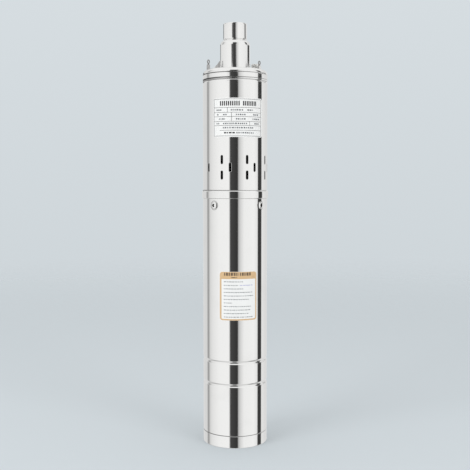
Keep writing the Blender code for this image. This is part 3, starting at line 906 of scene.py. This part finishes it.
def add_boss(bm, middle, radius, top, hole_r, hole_depth):
    """A round boss that grows out of the dome with a small fillet at its foot."""
    edge = 0.3
    fillet = 0.5

    def foot(spread, lift):
        points = []
        for x, y, _ in circle(radius + spread, 0.0, SMALL_ROUND, middle):
            points.append((x, y, dome_height(sqrt(x * x + y * y)) + lift))
        return points

    rings = [foot(fillet, -FOOT_SINK)]
    for turn in (20, 45, 70, 90):
        rings.append(foot(fillet * (1 - sin(radians(turn))), fillet * (1 - cos(radians(turn)))))
    outline = upper_edge(radius, top, edge, 3)
    outline += [(hole_r, top), (hole_r, top - hole_depth), (0.0, top - hole_depth)]
    skin(bm, rings + circles(outline, SMALL_ROUND, middle))


def add_rib(bm):
    """A rounded rib on the left that sweeps from the neck down to the dome."""
    rings = []
    for step in range(RIB_STEPS + 1):
        share = step / RIB_STEPS
        start, bend, end = (1 - share) ** 2, 2 * share * (1 - share), share ** 2
        radius = start * RIB_START[0] + bend * RIB_BEND[0] + end * RIB_END[0]
        swept = start * RIB_START[1] + bend * RIB_BEND[1] + end * RIB_END[1]
        base = dome_height(radius)
        lift = max(swept - base, 0.1)
        rounding = min(RIB_TOP_HALF, 0.6 * lift)
        fillet = min(RIB_FILLET, 0.4 * lift)
        foot_half = RIB_TOP_HALF + RIB_SPREAD * lift
        half = [(foot_half + fillet, base - FOOT_SINK)]
        half += arc(foot_half + fillet, base + fillet, fillet, fillet, -90, -180, 6)
        half += upper_edge(RIB_TOP_HALF, base + lift, rounding, 8)
        section = half + [(-y, z) for y, z in reversed(half)]
        rings.append([(-radius, y, z) for y, z in section])
    skin(bm, rings, capped=True)


def rib_shade(place):
    """The rib gets painted shade and a duller surface, most of all in its corner with the neck."""
    radius = -place.x
    off_rib = radius < NECK_R + 0.3 or abs(place.y) > RIB_SHADE_HALF_WIDTH
    if off_rib or place.z < dome_height(radius) + 0.3:
        return 0.0
    corner = max(0.0, (RIB_CORNER_R - radius) * RIB_CORNER_SHADE)
    return min(RIB_SHADE, (RIB_SHADE_END - radius) / RIB_SHADE_FADE) + corner


def make_outlet_head():
    """Neck and domed top in one casting, with its rib and bosses."""
    bottom, top = heights("outlet_head")
    shoulder = heights("head_rim")[1] + SEAM
    stator_seat = heights("stator_tube")[1] + FIT
    foot_r = NECK_R + FOOT_FILLET
    foot_turn = 270 - degrees(asin(foot_r / DOME_R))
    edge_r = DOME_EDGE_R - DOME_ROUNDING
    edge_slope = asin(edge_r / (DOME_R - DOME_ROUNDING))
    edge_z = DOME_CENTRE + (DOME_R - DOME_ROUNDING) * cos(edge_slope)
    edge_turn = 90 - degrees(edge_slope)
    passage_r = PASSAGE_R + 0.8
    spigot_seat = SPIGOT_BOTTOM - FIT
    hole_r = SPIGOT_R + FIT
    profile = [(hole_r, top)]
    profile += arc(STUB_R, NECK_TOP, NECK_R - STUB_R, top - NECK_TOP, 90, 0, 16)
    foot_z = dome_height(foot_r) + FOOT_FILLET
    profile += arc(foot_r, foot_z, FOOT_FILLET, FOOT_FILLET, 180, foot_turn, 8)
    first = foot_r + 0.2
    last = DOME_R * sin(edge_slope)
    for step in range(DOME_STEPS):
        radius = first + (last - first) * step / DOME_STEPS
        profile.append((radius, dome_height(radius)))
    profile += arc(edge_r, edge_z, DOME_ROUNDING, DOME_ROUNDING, edge_turn, 0, 20)
    profile += [(DOME_EDGE_R, shoulder + DOME_LIP), (DOME_EDGE_R - DOME_LIP, shoulder), (SOCKET_R, shoulder)]
    profile += [(SOCKET_R, bottom + 1), (SOCKET_R - 1, bottom), (STATOR_R + FIT, bottom)]
    profile += [(STATOR_R + FIT, stator_seat), (CHAMBER_R, stator_seat), (CHAMBER_R, CHAMBER_TOP)]
    profile += [(passage_r, CHAMBER_TOP + CHAMBER_CONE), (passage_r, spigot_seat), (hole_r, spigot_seat)]
    bm = turned_body(profile, ROUND)
    add_rib(bm)
    for place in EYE_PLACES.values():
        add_boss(bm, place, EYE_BOSS_R, EYE_BOSS_TOP, EYE_SHANK_R + FIT, EYE_SHANK_DEPTH)
    add_boss(bm, GLAND_PLACE, GLAND_BOSS_R, GLAND_BOSS_TOP, GLAND_SPIGOT_R + FIT, GLAND_SPIGOT_DEPTH)
    finished_piece("outlet_head_casting", bm, polished_steel, POLISHED, "outlet_head", painted_shade=rib_shade)


THREAD_PITCH = 1.814
THREAD_DEPTH = 1.16
THREAD_R = 13.2
THREAD_BOTTOM = 581.0
THREAD_START = 0.9
THREAD_LEVELS = 12
STUB_GAP = 1.6
STUB_EDGE = 0.6
STUB_MOUTH = 1.4
STUB_FLARE = 1.1


def thread_ring(height, mouth_lift):
    """The thread's radius swings with height and with the turn round the bore."""
    run_out = min(1.0, max(0.0, (height - THREAD_BOTTOM) / THREAD_PITCH))
    points = []
    for number in range(BORE_ROUND):
        turn = 2 * pi * number / BORE_ROUND
        phase = (height / THREAD_PITCH - turn / (2 * pi)) % 1.0
        flank = abs(2 * phase - 1)
        rounded = 0.5 - 0.5 * cos(pi * flank)
        crest = (rounded + flank) / 2
        radius = THREAD_R - THREAD_DEPTH * crest * run_out - (1 - run_out) * THREAD_START
        radius = max(radius, THREAD_R - THREAD_DEPTH + mouth_lift * STUB_FLARE)
        points.append((radius * cos(turn), radius * sin(turn), height))
    return points


def make_outlet_stub():
    """Smooth socket with a helical pipe thread in its bore."""
    bottom = heights("outlet_head")[1] + STUB_GAP
    top = heights("outlet_stub")[1]
    inside = [(STUB_R - STUB_EDGE, bottom), (SPIGOT_R, bottom), (SPIGOT_R, SPIGOT_BOTTOM)]
    inside += [(PASSAGE_R, SPIGOT_BOTTOM), (PASSAGE_R, THREAD_BOTTOM - 0.3)]
    rings = circles(inside, BORE_ROUND)
    for height in levels_between(THREAD_BOTTOM, top - 0.3, THREAD_PITCH / THREAD_LEVELS):
        rings.append(thread_ring(height, max(0.0, height - (top - STUB_MOUTH))))
    outside = [(THREAD_R + 0.5, top)] + upper_edge(STUB_R, top, STUB_EDGE)[::-1]
    outside += [(STUB_R, top - 2 * STUB_EDGE), (STUB_R, bottom + 2 * STUB_EDGE)]
    outside += lower_edge(STUB_R, bottom, STUB_EDGE)[:0:-1]
    rings += circles(outside, BORE_ROUND)
    finished_piece("threaded_socket", skinned(rings, joined=True), polished_steel, POLISHED, "outlet_stub")


def make_lifting_eye(side):
    """A round loop on a short shank."""
    rings = []
    for step in range(MEDIUM_ROUND):
        turn = 2 * pi * step / MEDIUM_ROUND
        outwards = Vector((cos(turn), 0, sin(turn)))
        ring = []
        for x, y, _ in circle(EYE_WIRE_R, 0.0, WIRE_ROUND):
            ring.append(Vector((0, y, EYE_CENTRE)) + outwards * (EYE_LOOP_R + x))
        rings.append(ring)
    bm = skinned(rings, joined=True)
    low = EYE_BOSS_TOP - EYE_SHANK_DEPTH
    root = EYE_CENTRE - EYE_LOOP_R
    shank = [(0.0, low), (EYE_SHANK_R - 0.3, low), (EYE_SHANK_R, low + 0.3), (EYE_SHANK_R, root - 1.0)]
    shank += [(EYE_SHANK_R - 0.15, root - 0.5), (EYE_WIRE_R, root + 0.1), (0.0, root + 0.1)]
    skin(bm, circles(shank, THIN_ROUND))
    x, y = EYE_PLACES[side]
    stand = Matrix.Translation((x, y, 0)) @ Matrix.Rotation(radians(EYE_PLANE_TURN), 4, "Z")
    bmesh.ops.transform(bm, matrix=stand, verts=bm.verts)
    finished_piece(f"eye_bolt_{side}", bm, dark_steel, TURNED, f"lifting_eye_{side}")


def hexagon_nut(middle, corner_r, bottom, top, bore_r, lean_degrees):
    """A hexagon with chamfered corners and a round bore."""
    apothem = corner_r * cos(pi / 6)
    chamfer_in = 0.12
    chamfer_slope = tan(radians(30))
    flat_r = apothem - chamfer_in
    mouth = 0.25
    lean = radians(lean_degrees)

    def ring(radius, height):
        return circle(radius, height, SMALL_ROUND, middle, lean)

    low_side = []
    high_side = []
    for x, y, radius in hexagon(apothem, middle, lean):
        drop = (radius - apothem + chamfer_in) * chamfer_slope
        low_side.append((x, y, bottom + drop))
        high_side.append((x, y, top - drop))
    rings = [ring(bore_r, bottom), ring(flat_r, bottom), low_side, high_side]
    rings += [ring(flat_r, top), ring(bore_r + mouth, top), ring(bore_r, top - mouth)]
    return skinned(rings, joined=True)


def make_eye_nut(side):
    bottom, top = heights(f"eye_nut_{side}")
    bm = hexagon_nut(EYE_PLACES[side], EYE_NUT_R, bottom, top, EYE_SHANK_R + 0.15, EYE_NUT_TURN)
    # Painted shade: the left nut is drawn in the darker steel and the right in the lighter, though the two
    # nuts are alike.
    look = dark_steel if side == "left" else turned_steel
    finished_piece(f"lock_nut_{side}", bm, look, TURNED, f"eye_nut_{side}")


def make_cable_gland():
    """A hexagon body, a smooth domed clamping nut and the rubber seal in its mouth."""
    bottom, top = heights("cable_gland_body")
    hex_bottom = GLAND_BOSS_TOP + FIT
    bm = hexagon_nut(GLAND_PLACE, GLAND_HEXAGON_R, hex_bottom, top, GLAND_BORE_R, GLAND_HEXAGON_TURN)
    spigot = [(GLAND_SPIGOT_R, bottom), (GLAND_SPIGOT_R, hex_bottom + 0.05)]
    skin(bm, circles(spigot, THIN_ROUND, GLAND_PLACE), capped=True)
    finished_piece("gland_hexagon", bm, satin_steel, POLISHED, "cable_gland_body")
    nut_bottom, top = heights("cable_gland_nut")
    nut_r = 5.9
    nut_rounding = 1.5
    mouth_r = 4.2
    profile = [(mouth_r, nut_bottom), (nut_r - 0.3, nut_bottom), (nut_r, nut_bottom + 0.3)]
    profile += upper_edge(nut_r, top, nut_rounding, 10) + [(mouth_r + 0.3, top), (mouth_r, top - 0.3)]
    body = turned_body(profile, SMALL_ROUND, GLAND_PLACE)
    finished_piece("gland_clamping_nut", body, satin_steel, POLISHED, "cable_gland_nut")
    bottom, top = heights("cable_gland_seal")
    seal_r = mouth_r - FIT
    profile = [(0.0, bottom), (3.0, bottom), (3.0, nut_bottom), (seal_r, nut_bottom)]
    profile += upper_edge(seal_r, top, 0.6, 5)
    profile += [(1.6, top), (1.2, top - 0.3), (0.7, top - 1.4), (0.0, top - 1.6)]
    body = turned_body(profile, THIN_ROUND, GLAND_PLACE)
    finished_piece("gland_seal_plug", body, rubber, "black_rubber", "cable_gland_seal")


# Labels

# A label's node, its two sides' angles, and its slot.
NAMEPLATE = ("nameplate", (-39.8, 53.5), "label_white")
RATING_LABEL = ("rating_label", (-27.6, 40.0), "label_orange")
LABEL_GAP = 0.12
LABEL_THICKNESS = 0.3
LABEL_INNER_R = BODY_R + LABEL_GAP
LABEL_OUTER_R = LABEL_INNER_R + LABEL_THICKNESS
LABEL_CORNER = 4.0
CORNER_STEPS = 10
INK_BOTTOM_R = LABEL_OUTER_R - 0.02
INK_THICKNESS = 0.03
INK_STEP = 1.5


def add_plate(bm, start, end, low, high, inner, outer, corner, step=1.0):
    """A curved plate on the body between two angles, with rounded corners."""
    width = radians(end - start) * outer
    corner_steps = CORNER_STEPS if corner else 0
    offsets = [corner * (1 - cos(pi / 2 * i / corner_steps)) for i in range(corner_steps)]
    middle = max(1, ceil((width - 2 * corner) / step))
    offsets += [corner + (width - 2 * corner) * i / middle for i in range(middle + 1)]
    offsets += [width - value for value in reversed(offsets[:corner_steps])]
    rings = []
    for value in offsets:
        inset = corner - min(value, width - value, corner)
        shorter = corner - sqrt(max(0.0, corner * corner - inset * inset))
        foot, top = low + shorter, high - shorter
        section = ((inner, foot), (outer, foot), (outer, top), (inner, top))
        rings.append([around(start + degrees(value / outer), *place) for place in section])
    skin(bm, rings, capped=True)


class Print:
    """Bars of ink on a label. Places are in millimetres from the label's left edge and from its top."""

    def __init__(self, label, layer=1):
        node, (self.start, end), self.slot = label
        self.low, self.high = heights(node)
        self.width = radians(end - self.start) * BODY_R
        self.tall = self.high - self.low
        self.ink_top = LABEL_OUTER_R + INK_THICKNESS * layer
        self.bm = bmesh.new()

    def angle(self, x):
        return self.start + degrees(x / BODY_R)

    def bar(self, left, right, down, thickness):
        high = self.high - down + thickness / 2
        low = high - thickness
        ends = (self.angle(left), self.angle(right))
        add_plate(self.bm, *ends, low, high, INK_BOTTOM_R, self.ink_top, 0.0, INK_STEP)

    def upright(self, middle, down_from, down_to, thickness):
        half = thickness / 2
        self.bar(middle - half, middle + half, (down_from + down_to) / 2, down_to - down_from)

    def words(self, left, right, down, thickness, seed, longest=5.5):
        """A line of short dashes that stands for small print."""
        draw = random.Random(seed)
        place = left
        while place < right - 1:
            length = min(draw.uniform(1.2, longest), right - place)
            self.bar(place, place + length, down, thickness)
            place += length + draw.uniform(0.7, 1.3)

    def border(self, inset, thickness, corner):
        """A frame that follows the label's rounded corners, this far inside its edges."""
        sides = []
        for shift, rounding in ((inset, corner), (inset + thickness, corner - thickness)):
            corners = (shift, self.width - shift, self.low + shift, self.high - shift)
            sides.append(rounded_outline(*corners, rounding))
        rings = []
        for (x, z), (near_x, near_z) in zip(*sides):
            far, near = self.angle(x), self.angle(near_x)
            rings.append([
                around(far, INK_BOTTOM_R, z),
                around(far, self.ink_top, z),
                around(near, self.ink_top, near_z),
                around(near, INK_BOTTOM_R, near_z),
            ])
        skin(self.bm, rings, joined=True)

    def finish(self, name, ink):
        finished_piece(name, self.bm, ink, self.slot)


def rounded_outline(left, right, low, high, corner):
    """Points once round a rectangle with rounded corners, its long sides cut into short steps."""
    points = []
    for x, z, start in (
        (right - corner, low + corner, -90),
        (right - corner, high - corner, 0),
        (left + corner, high - corner, 90),
        (left + corner, low + corner, 180),
    ):
        points += arc(x, z, corner, corner, start, start + 90, 8)
    stepped = []
    for (x, z), (next_x, next_z) in zip(points, points[1:] + points[:1]):
        count = max(1, ceil(abs(next_x - x) / INK_STEP))
        stepped += [(x + (next_x - x) * i / count, z + (next_z - z) * i / count) for i in range(count)]
    return stepped


def make_label_film(name, label):
    node, angles, slot = label
    bm = bmesh.new()
    add_plate(bm, *angles, *heights(node), LABEL_INNER_R, LABEL_OUTER_R, LABEL_CORNER)
    finished_piece(name, bm, white_film, slot, node)


# The nameplate's rules, from its top down; its uprights, with the two rules that each joins; the left
# end, right end and number of letters of its title; and its small print as left end, right end and place
# down.
TABLE_RULES = (13.2, 19.9, 25.6, 32.2, 37.8, 44.4)
TABLE_UPRIGHTS = ((21.3, 0, 1), (26.9, 1, 3), (52.5, 3, 4))
TABLE_LAST_INSET = 9.0
TABLE_LEFT = 1.0
TABLE_RIGHT_MARGIN = 2.9
TABLE_MARGIN = 1.6
RULE = 0.5
TITLE_WORDS = ((10.5, 38.2, 5), (42.7, 63.0, 4))
TITLE_DOWN = 7.5
TITLE_HEIGHT = 6.4
TITLE_STEM = 1.7
TITLE_GAP = 1.1
SMALL_PRINT = (
    (5, 14, 16.6), (26, 44, 16.6), (49, 57, 16.6),
    (6, 8, 22.9), (15, 21, 22.9), (33, 48, 22.9), (58, 68, 22.9),
    (9, 18, 28.9), (33, 47, 28.9), (57, 69, 28.9),
    (5, 11, 35.1), (15, 50, 35.1), (60, 68, 35.1),
    (14.6, 59.5, 40.9), (33.5, 58.9, 47.8),
)
SMALL_PRINT_HEIGHT = 2.0
BOLD_PRINT = (16.5, 31.5, 47.8)


def make_nameplate():
    """White film with a ruled table: a title row and rows of small print."""
    make_label_film("nameplate_film", NAMEPLATE)
    ink = Print(NAMEPLATE)
    right = ink.width - TABLE_RIGHT_MARGIN
    foot = ink.tall - TABLE_MARGIN
    for row in (TABLE_MARGIN, foot):
        ink.bar(TABLE_LEFT, right, row, RULE)
    for side in (TABLE_LEFT, right):
        ink.upright(side, TABLE_MARGIN, foot, RULE)
    for row in TABLE_RULES[:-1]:
        ink.bar(TABLE_LEFT, right, row, RULE)
    ink.bar(TABLE_LEFT + TABLE_LAST_INSET, right, TABLE_RULES[-1], RULE)
    for middle, first, last in TABLE_UPRIGHTS:
        ink.upright(middle, TABLE_RULES[first], TABLE_RULES[last], RULE)
    ink.finish("nameplate_rules", black_ink)
    ink = Print(NAMEPLATE)
    for start, end, letters in TITLE_WORDS:
        pitch = (end - start + TITLE_GAP) / letters
        for number in range(letters):
            letter = start + number * pitch
            for left in (letter, letter + pitch - TITLE_GAP - TITLE_STEM):
                ink.bar(left, left + TITLE_STEM, TITLE_DOWN, TITLE_HEIGHT)
    ink.words(*BOLD_PRINT, SMALL_PRINT_HEIGHT, 41)
    ink.finish("nameplate_print", black_ink)
    ink = Print(NAMEPLATE)
    for number, stretch in enumerate(SMALL_PRINT):
        ink.words(*stretch, SMALL_PRINT_HEIGHT, 50 + number, longest=2.6)
    ink.finish("nameplate_small_print", grey_ink)


# The rating label's frame, its header's print as left end, right end, place down and height, and the
# right end of each line of its small print.
FRAME_INSET = 0.15
FRAME_WIDTH = 1.9
FRAME_LEFT_WIDTH = 2.7
HEADER_FOOT = 10.2
HEADER_PRINT = ((6.7, 26.6, 3.3, 4.4), (28.7, 46.0, 3.3, 4.4))
HEADER_NOTE = (17.0, 26.6, 8.0, 1.2)
NOTE_ENDS = (28.7, 47.4)
PRINT_LEFT = 6.3
PRINT_FIRST = 14.0
PRINT_PITCH = 4.95
PRINT_ENDS = (33.6, 27.0, 33.4, 48.0, 48.5, 41.8, 19.0, 45.5, 44.4, 43.0, 47.5)


def make_rating_label():
    """White film with an orange frame, a header band and eleven lines of small print."""
    make_label_film("rating_film", RATING_LABEL)
    ink = Print(RATING_LABEL)
    ink.border(FRAME_INSET, FRAME_WIDTH, LABEL_CORNER)
    header_middle = (HEADER_FOOT + FRAME_WIDTH) / 2
    ink.bar(FRAME_WIDTH, ink.width - FRAME_WIDTH, header_middle, HEADER_FOOT - FRAME_WIDTH)
    left_middle = (FRAME_WIDTH + FRAME_LEFT_WIDTH) / 2
    ink.upright(left_middle, HEADER_FOOT, ink.tall - FRAME_WIDTH, FRAME_LEFT_WIDTH - FRAME_WIDTH)
    ink.finish("rating_frame", orange_ink)
    ink = Print(RATING_LABEL, layer=2)
    for stretch in HEADER_PRINT:
        ink.words(*stretch, 21, longest=3.6)
    ink.words(*HEADER_NOTE, 22)
    ink.finish("rating_title", brown_ink)
    ink = Print(RATING_LABEL)
    for number, end in enumerate(PRINT_ENDS):
        ink.words(PRINT_LEFT, end, PRINT_FIRST + PRINT_PITCH * number, 1.0, 70 + number, longest=3.6)
    ink.finish("rating_print", grey_ink)
    ink = Print(RATING_LABEL)
    ink.words(*NOTE_ENDS, PRINT_FIRST + PRINT_PITCH, 0.8, 96, longest=7.0)
    ink.finish("rating_note", blue_ink)


# Stage, in metres

FLOOR_R = 6.0
FLOOR_FADE = (0.6, 3.2)
FLOOR_TONE = (0.60, 0.65, 0.68, 1.0)
BACKDROP_TOP_TONE = (0.70, 0.75, 0.78, 1.0)


def make_stage():
    """A plain pale floor that fades into the backdrop. Mirrored rays pass it, so steel shows the panels."""
    bm = bmesh.new()
    bmesh.ops.create_circle(bm, cap_ends=True, segments=MEDIUM_ROUND, radius=FLOOR_R)
    mesh = bpy.data.meshes.new("studio_floor")
    bm.to_mesh(mesh)
    bm.free()
    floor = add_object("studio_floor", mesh)
    made = bpy.data.materials.new("pale_floor")
    made.use_nodes = True
    tree = made.node_tree
    tree.nodes.clear()
    distance = add_node(tree, "ShaderNodeVectorMath", {0: object_place(tree)}, operation="LENGTH")
    gone = remap(tree, distance.outputs["Value"], *FLOOR_FADE, smooth=True)
    pale = add_node(tree, "ShaderNodeBsdfDiffuse", {"Color": FLOOR_TONE})
    clear = tree.nodes.new("ShaderNodeBsdfTransparent")
    both = add_node(tree, "ShaderNodeMixShader", {0: gone, 1: pale.outputs[0], 2: clear.outputs[0]})
    add_node(tree, "ShaderNodeOutputMaterial", {"Surface": both.outputs[0]})
    mesh.materials.append(made)
    floor.visible_glossy = False


# The studio's panels and dark gaps as the steel mirrors them: azimuth in degrees from the front,
# positive towards +X, and brightness. Values between two entries are blended. The body mirrors the low
# panels, the neck and the socket the narrow belts of panels above them.
LOW_PANELS = (
    (-180, 0.76), (-123, 0.79), (-117, 0.42), (-110, 0.38), (-106, 0.62), (-101, 0.80), (-85, 0.92),
    (-60, 1.02), (-22, 1.04), (-17, 0.07), (7.5, 0.04), (9.5, 0.08), (12, 0.56), (20, 0.8), (32, 1.0),
    (70, 1.04), (87, 0.92), (90, 0.05), (107, 0.05), (111, 0.93), (122, 0.88), (145, 0.80), (180, 0.76),
)
NECK_PANELS = (
    (-180, 0.25), (-148, 0.25), (-143, 0.86), (-60, 1.0), (-31, 1.02), (-27, 0.13), (-16, 0.085),
    (-4, 0.045), (5, 0.085), (9, 0.5), (20, 0.84), (32, 1.04), (109, 0.95), (113, 0.07), (142, 0.07),
    (147, 0.95), (180, 0.95),
)
SOCKET_PANELS = (
    (-180, 0.12), (-146, 0.12), (-141, 0.86), (-60, 1.0), (-33, 0.95), (-29, 0.2), (-20, 0.1),
    (-8, 0.05), (2.5, 0.08), (7.5, 0.6), (20, 0.84), (32, 1.04), (98.5, 0.95), (102, 0.38), (133, 0.36),
    (137, 0.9), (180, 0.86),
)
# How steeply mirrored rays rise where the neck's belt starts, the socket's belt starts, and both end.
# Each change runs from the first value to the second.
NECK_FROM = (0.139, 0.143)
SOCKET_FROM = (0.169, 0.173)
HIGH_TO = (0.2, 0.22)


def panel_ramp(tree, place, panels):
    ramp = add_node(tree, "ShaderNodeValToRGB", {0: place})
    stops = ramp.color_ramp.elements
    for number, (angle, level) in enumerate(panels):
        position = (angle + 180) / 360
        stop = stops[number] if number < 2 else stops.new(position)
        stop.position = position
        stop.color = grey(level)
    return ramp.outputs["Color"]


def make_studio_light():
    """The world: panels and gaps for mirrored rays, even soft light for matt surfaces, a pale backdrop."""
    world = bpy.data.worlds.new("studio")
    bpy.context.scene.world = world
    world.use_nodes = True
    tree = world.node_tree
    tree.nodes.clear()
    parts = split(tree, tree.nodes.new("ShaderNodeTexCoord").outputs["Generated"])
    rise = parts[2]
    azimuth = maths(tree, "ARCTAN2", parts[0], times(tree, parts[1], -1.0))
    place = remap(tree, azimuth, -pi, pi)
    low = panel_ramp(tree, place, LOW_PANELS)
    neck = panel_ramp(tree, place, NECK_PANELS)
    socket = panel_ramp(tree, place, SOCKET_PANELS)
    mirrored = low
    for start, end, panels in ((*NECK_FROM, neck), (*SOCKET_FROM, socket), (*HIGH_TO, low)):
        mirrored = blend_colours(tree, remap(tree, rise, start, end), mirrored, panels)
    ceiling = remap(tree, rise, 0.45, 0.75, smooth=True)
    ground = remap(tree, rise, -0.5, -0.75, 0.0, 0.5, smooth=True)
    mirrored = blend_colours(tree, ceiling, mirrored, grey(1.0))
    mirrored = blend_colours(tree, ground, mirrored, grey(0.55))
    backdrop = blend_colours(tree, remap(tree, rise, -0.25, 0.4), FLOOR_TONE, BACKDROP_TOP_TONE)
    matt = blend_colours(tree, remap(tree, rise, -0.2, 0.9), grey(0.55), grey(0.95))
    path = tree.nodes.new("ShaderNodeLightPath").outputs
    colour = blend_colours(tree, path["Is Diffuse Ray"], mirrored, matt)
    colour = blend_colours(tree, path["Is Camera Ray"], colour, backdrop)
    light = add_node(tree, "ShaderNodeBackground", {"Color": colour, "Strength": 1.0})
    add_node(tree, "ShaderNodeOutputWorld", {"Surface": light.outputs[0]})


LAMP_TARGET = (0, 0, 0.3)


def make_lamp(name, place, size, power):
    data = bpy.data.lights.new(name, "AREA")
    data.shape = "RECTANGLE"
    data.size, data.size_y = size
    data.energy = power
    lamp = add_object(name, data)
    lamp.location = place
    lamp.rotation_euler = (Vector(LAMP_TARGET) - Vector(place)).to_track_quat("-Z", "Y").to_euler()
    lamp.visible_glossy = False
    lamp.visible_camera = False


PHOTO_SIZE = 470
FOCAL_PIXELS = 819.0
CAMERA_PLACE = (-0.0002, -1.18, 0.3717)
CAMERA_PITCH = 3.53


def make_camera():
    data = bpy.data.cameras.new("photo_camera")
    data.sensor_width = 36.0
    data.lens = FOCAL_PIXELS / PHOTO_SIZE * data.sensor_width
    camera = add_object("photo_camera", data)
    camera.location = CAMERA_PLACE
    camera.rotation_euler = (radians(90 - CAMERA_PITCH), 0, 0)
    bpy.context.scene.camera = camera


def main():
    make_camera()
    make_band("bottom_cap_shell", "bottom_cap", None, 0.0, BODY_R, (0.8, 8), (0.8, 6))
    make_motor_housing()
    for number in range(1, SCREW_COUNT + 1):
        make_head_screw(number)
    make_motor_head()
    make_band("joint_ring_band", "joint_ring", "motor_housing", INNER_R, RING_R, (0.6, 8), (2.0, 12))
    make_pump_barrel()
    make_band("barrel_bead_band", "barrel_bead", "pump_barrel", INNER_R, BODY_R, (0.3, 6), (0.3, 6))
    make_band("head_rim_band", "head_rim", "barrel_bead", INNER_R, BODY_R, (0.4, 8), (0.4, 8))
    make_outlet_head()
    make_outlet_stub()
    for side in EYE_PLACES:
        make_lifting_eye(side)
        make_eye_nut(side)
    make_cable_gland()
    make_stator()
    make_stator_rubber()
    make_screw_rotor()
    make_drive()
    make_nameplate()
    make_rating_label()
    make_stage()
    make_studio_light()
    make_lamp("left_panel", (-1.6, -1.4, 1.3), (1.2, 1.6), 15.0)
    make_lamp("right_panel", (1.5, -1.6, 1.1), (1.0, 1.4), 11.0)
    bpy.context.scene.view_settings.view_transform = "Standard"


main()
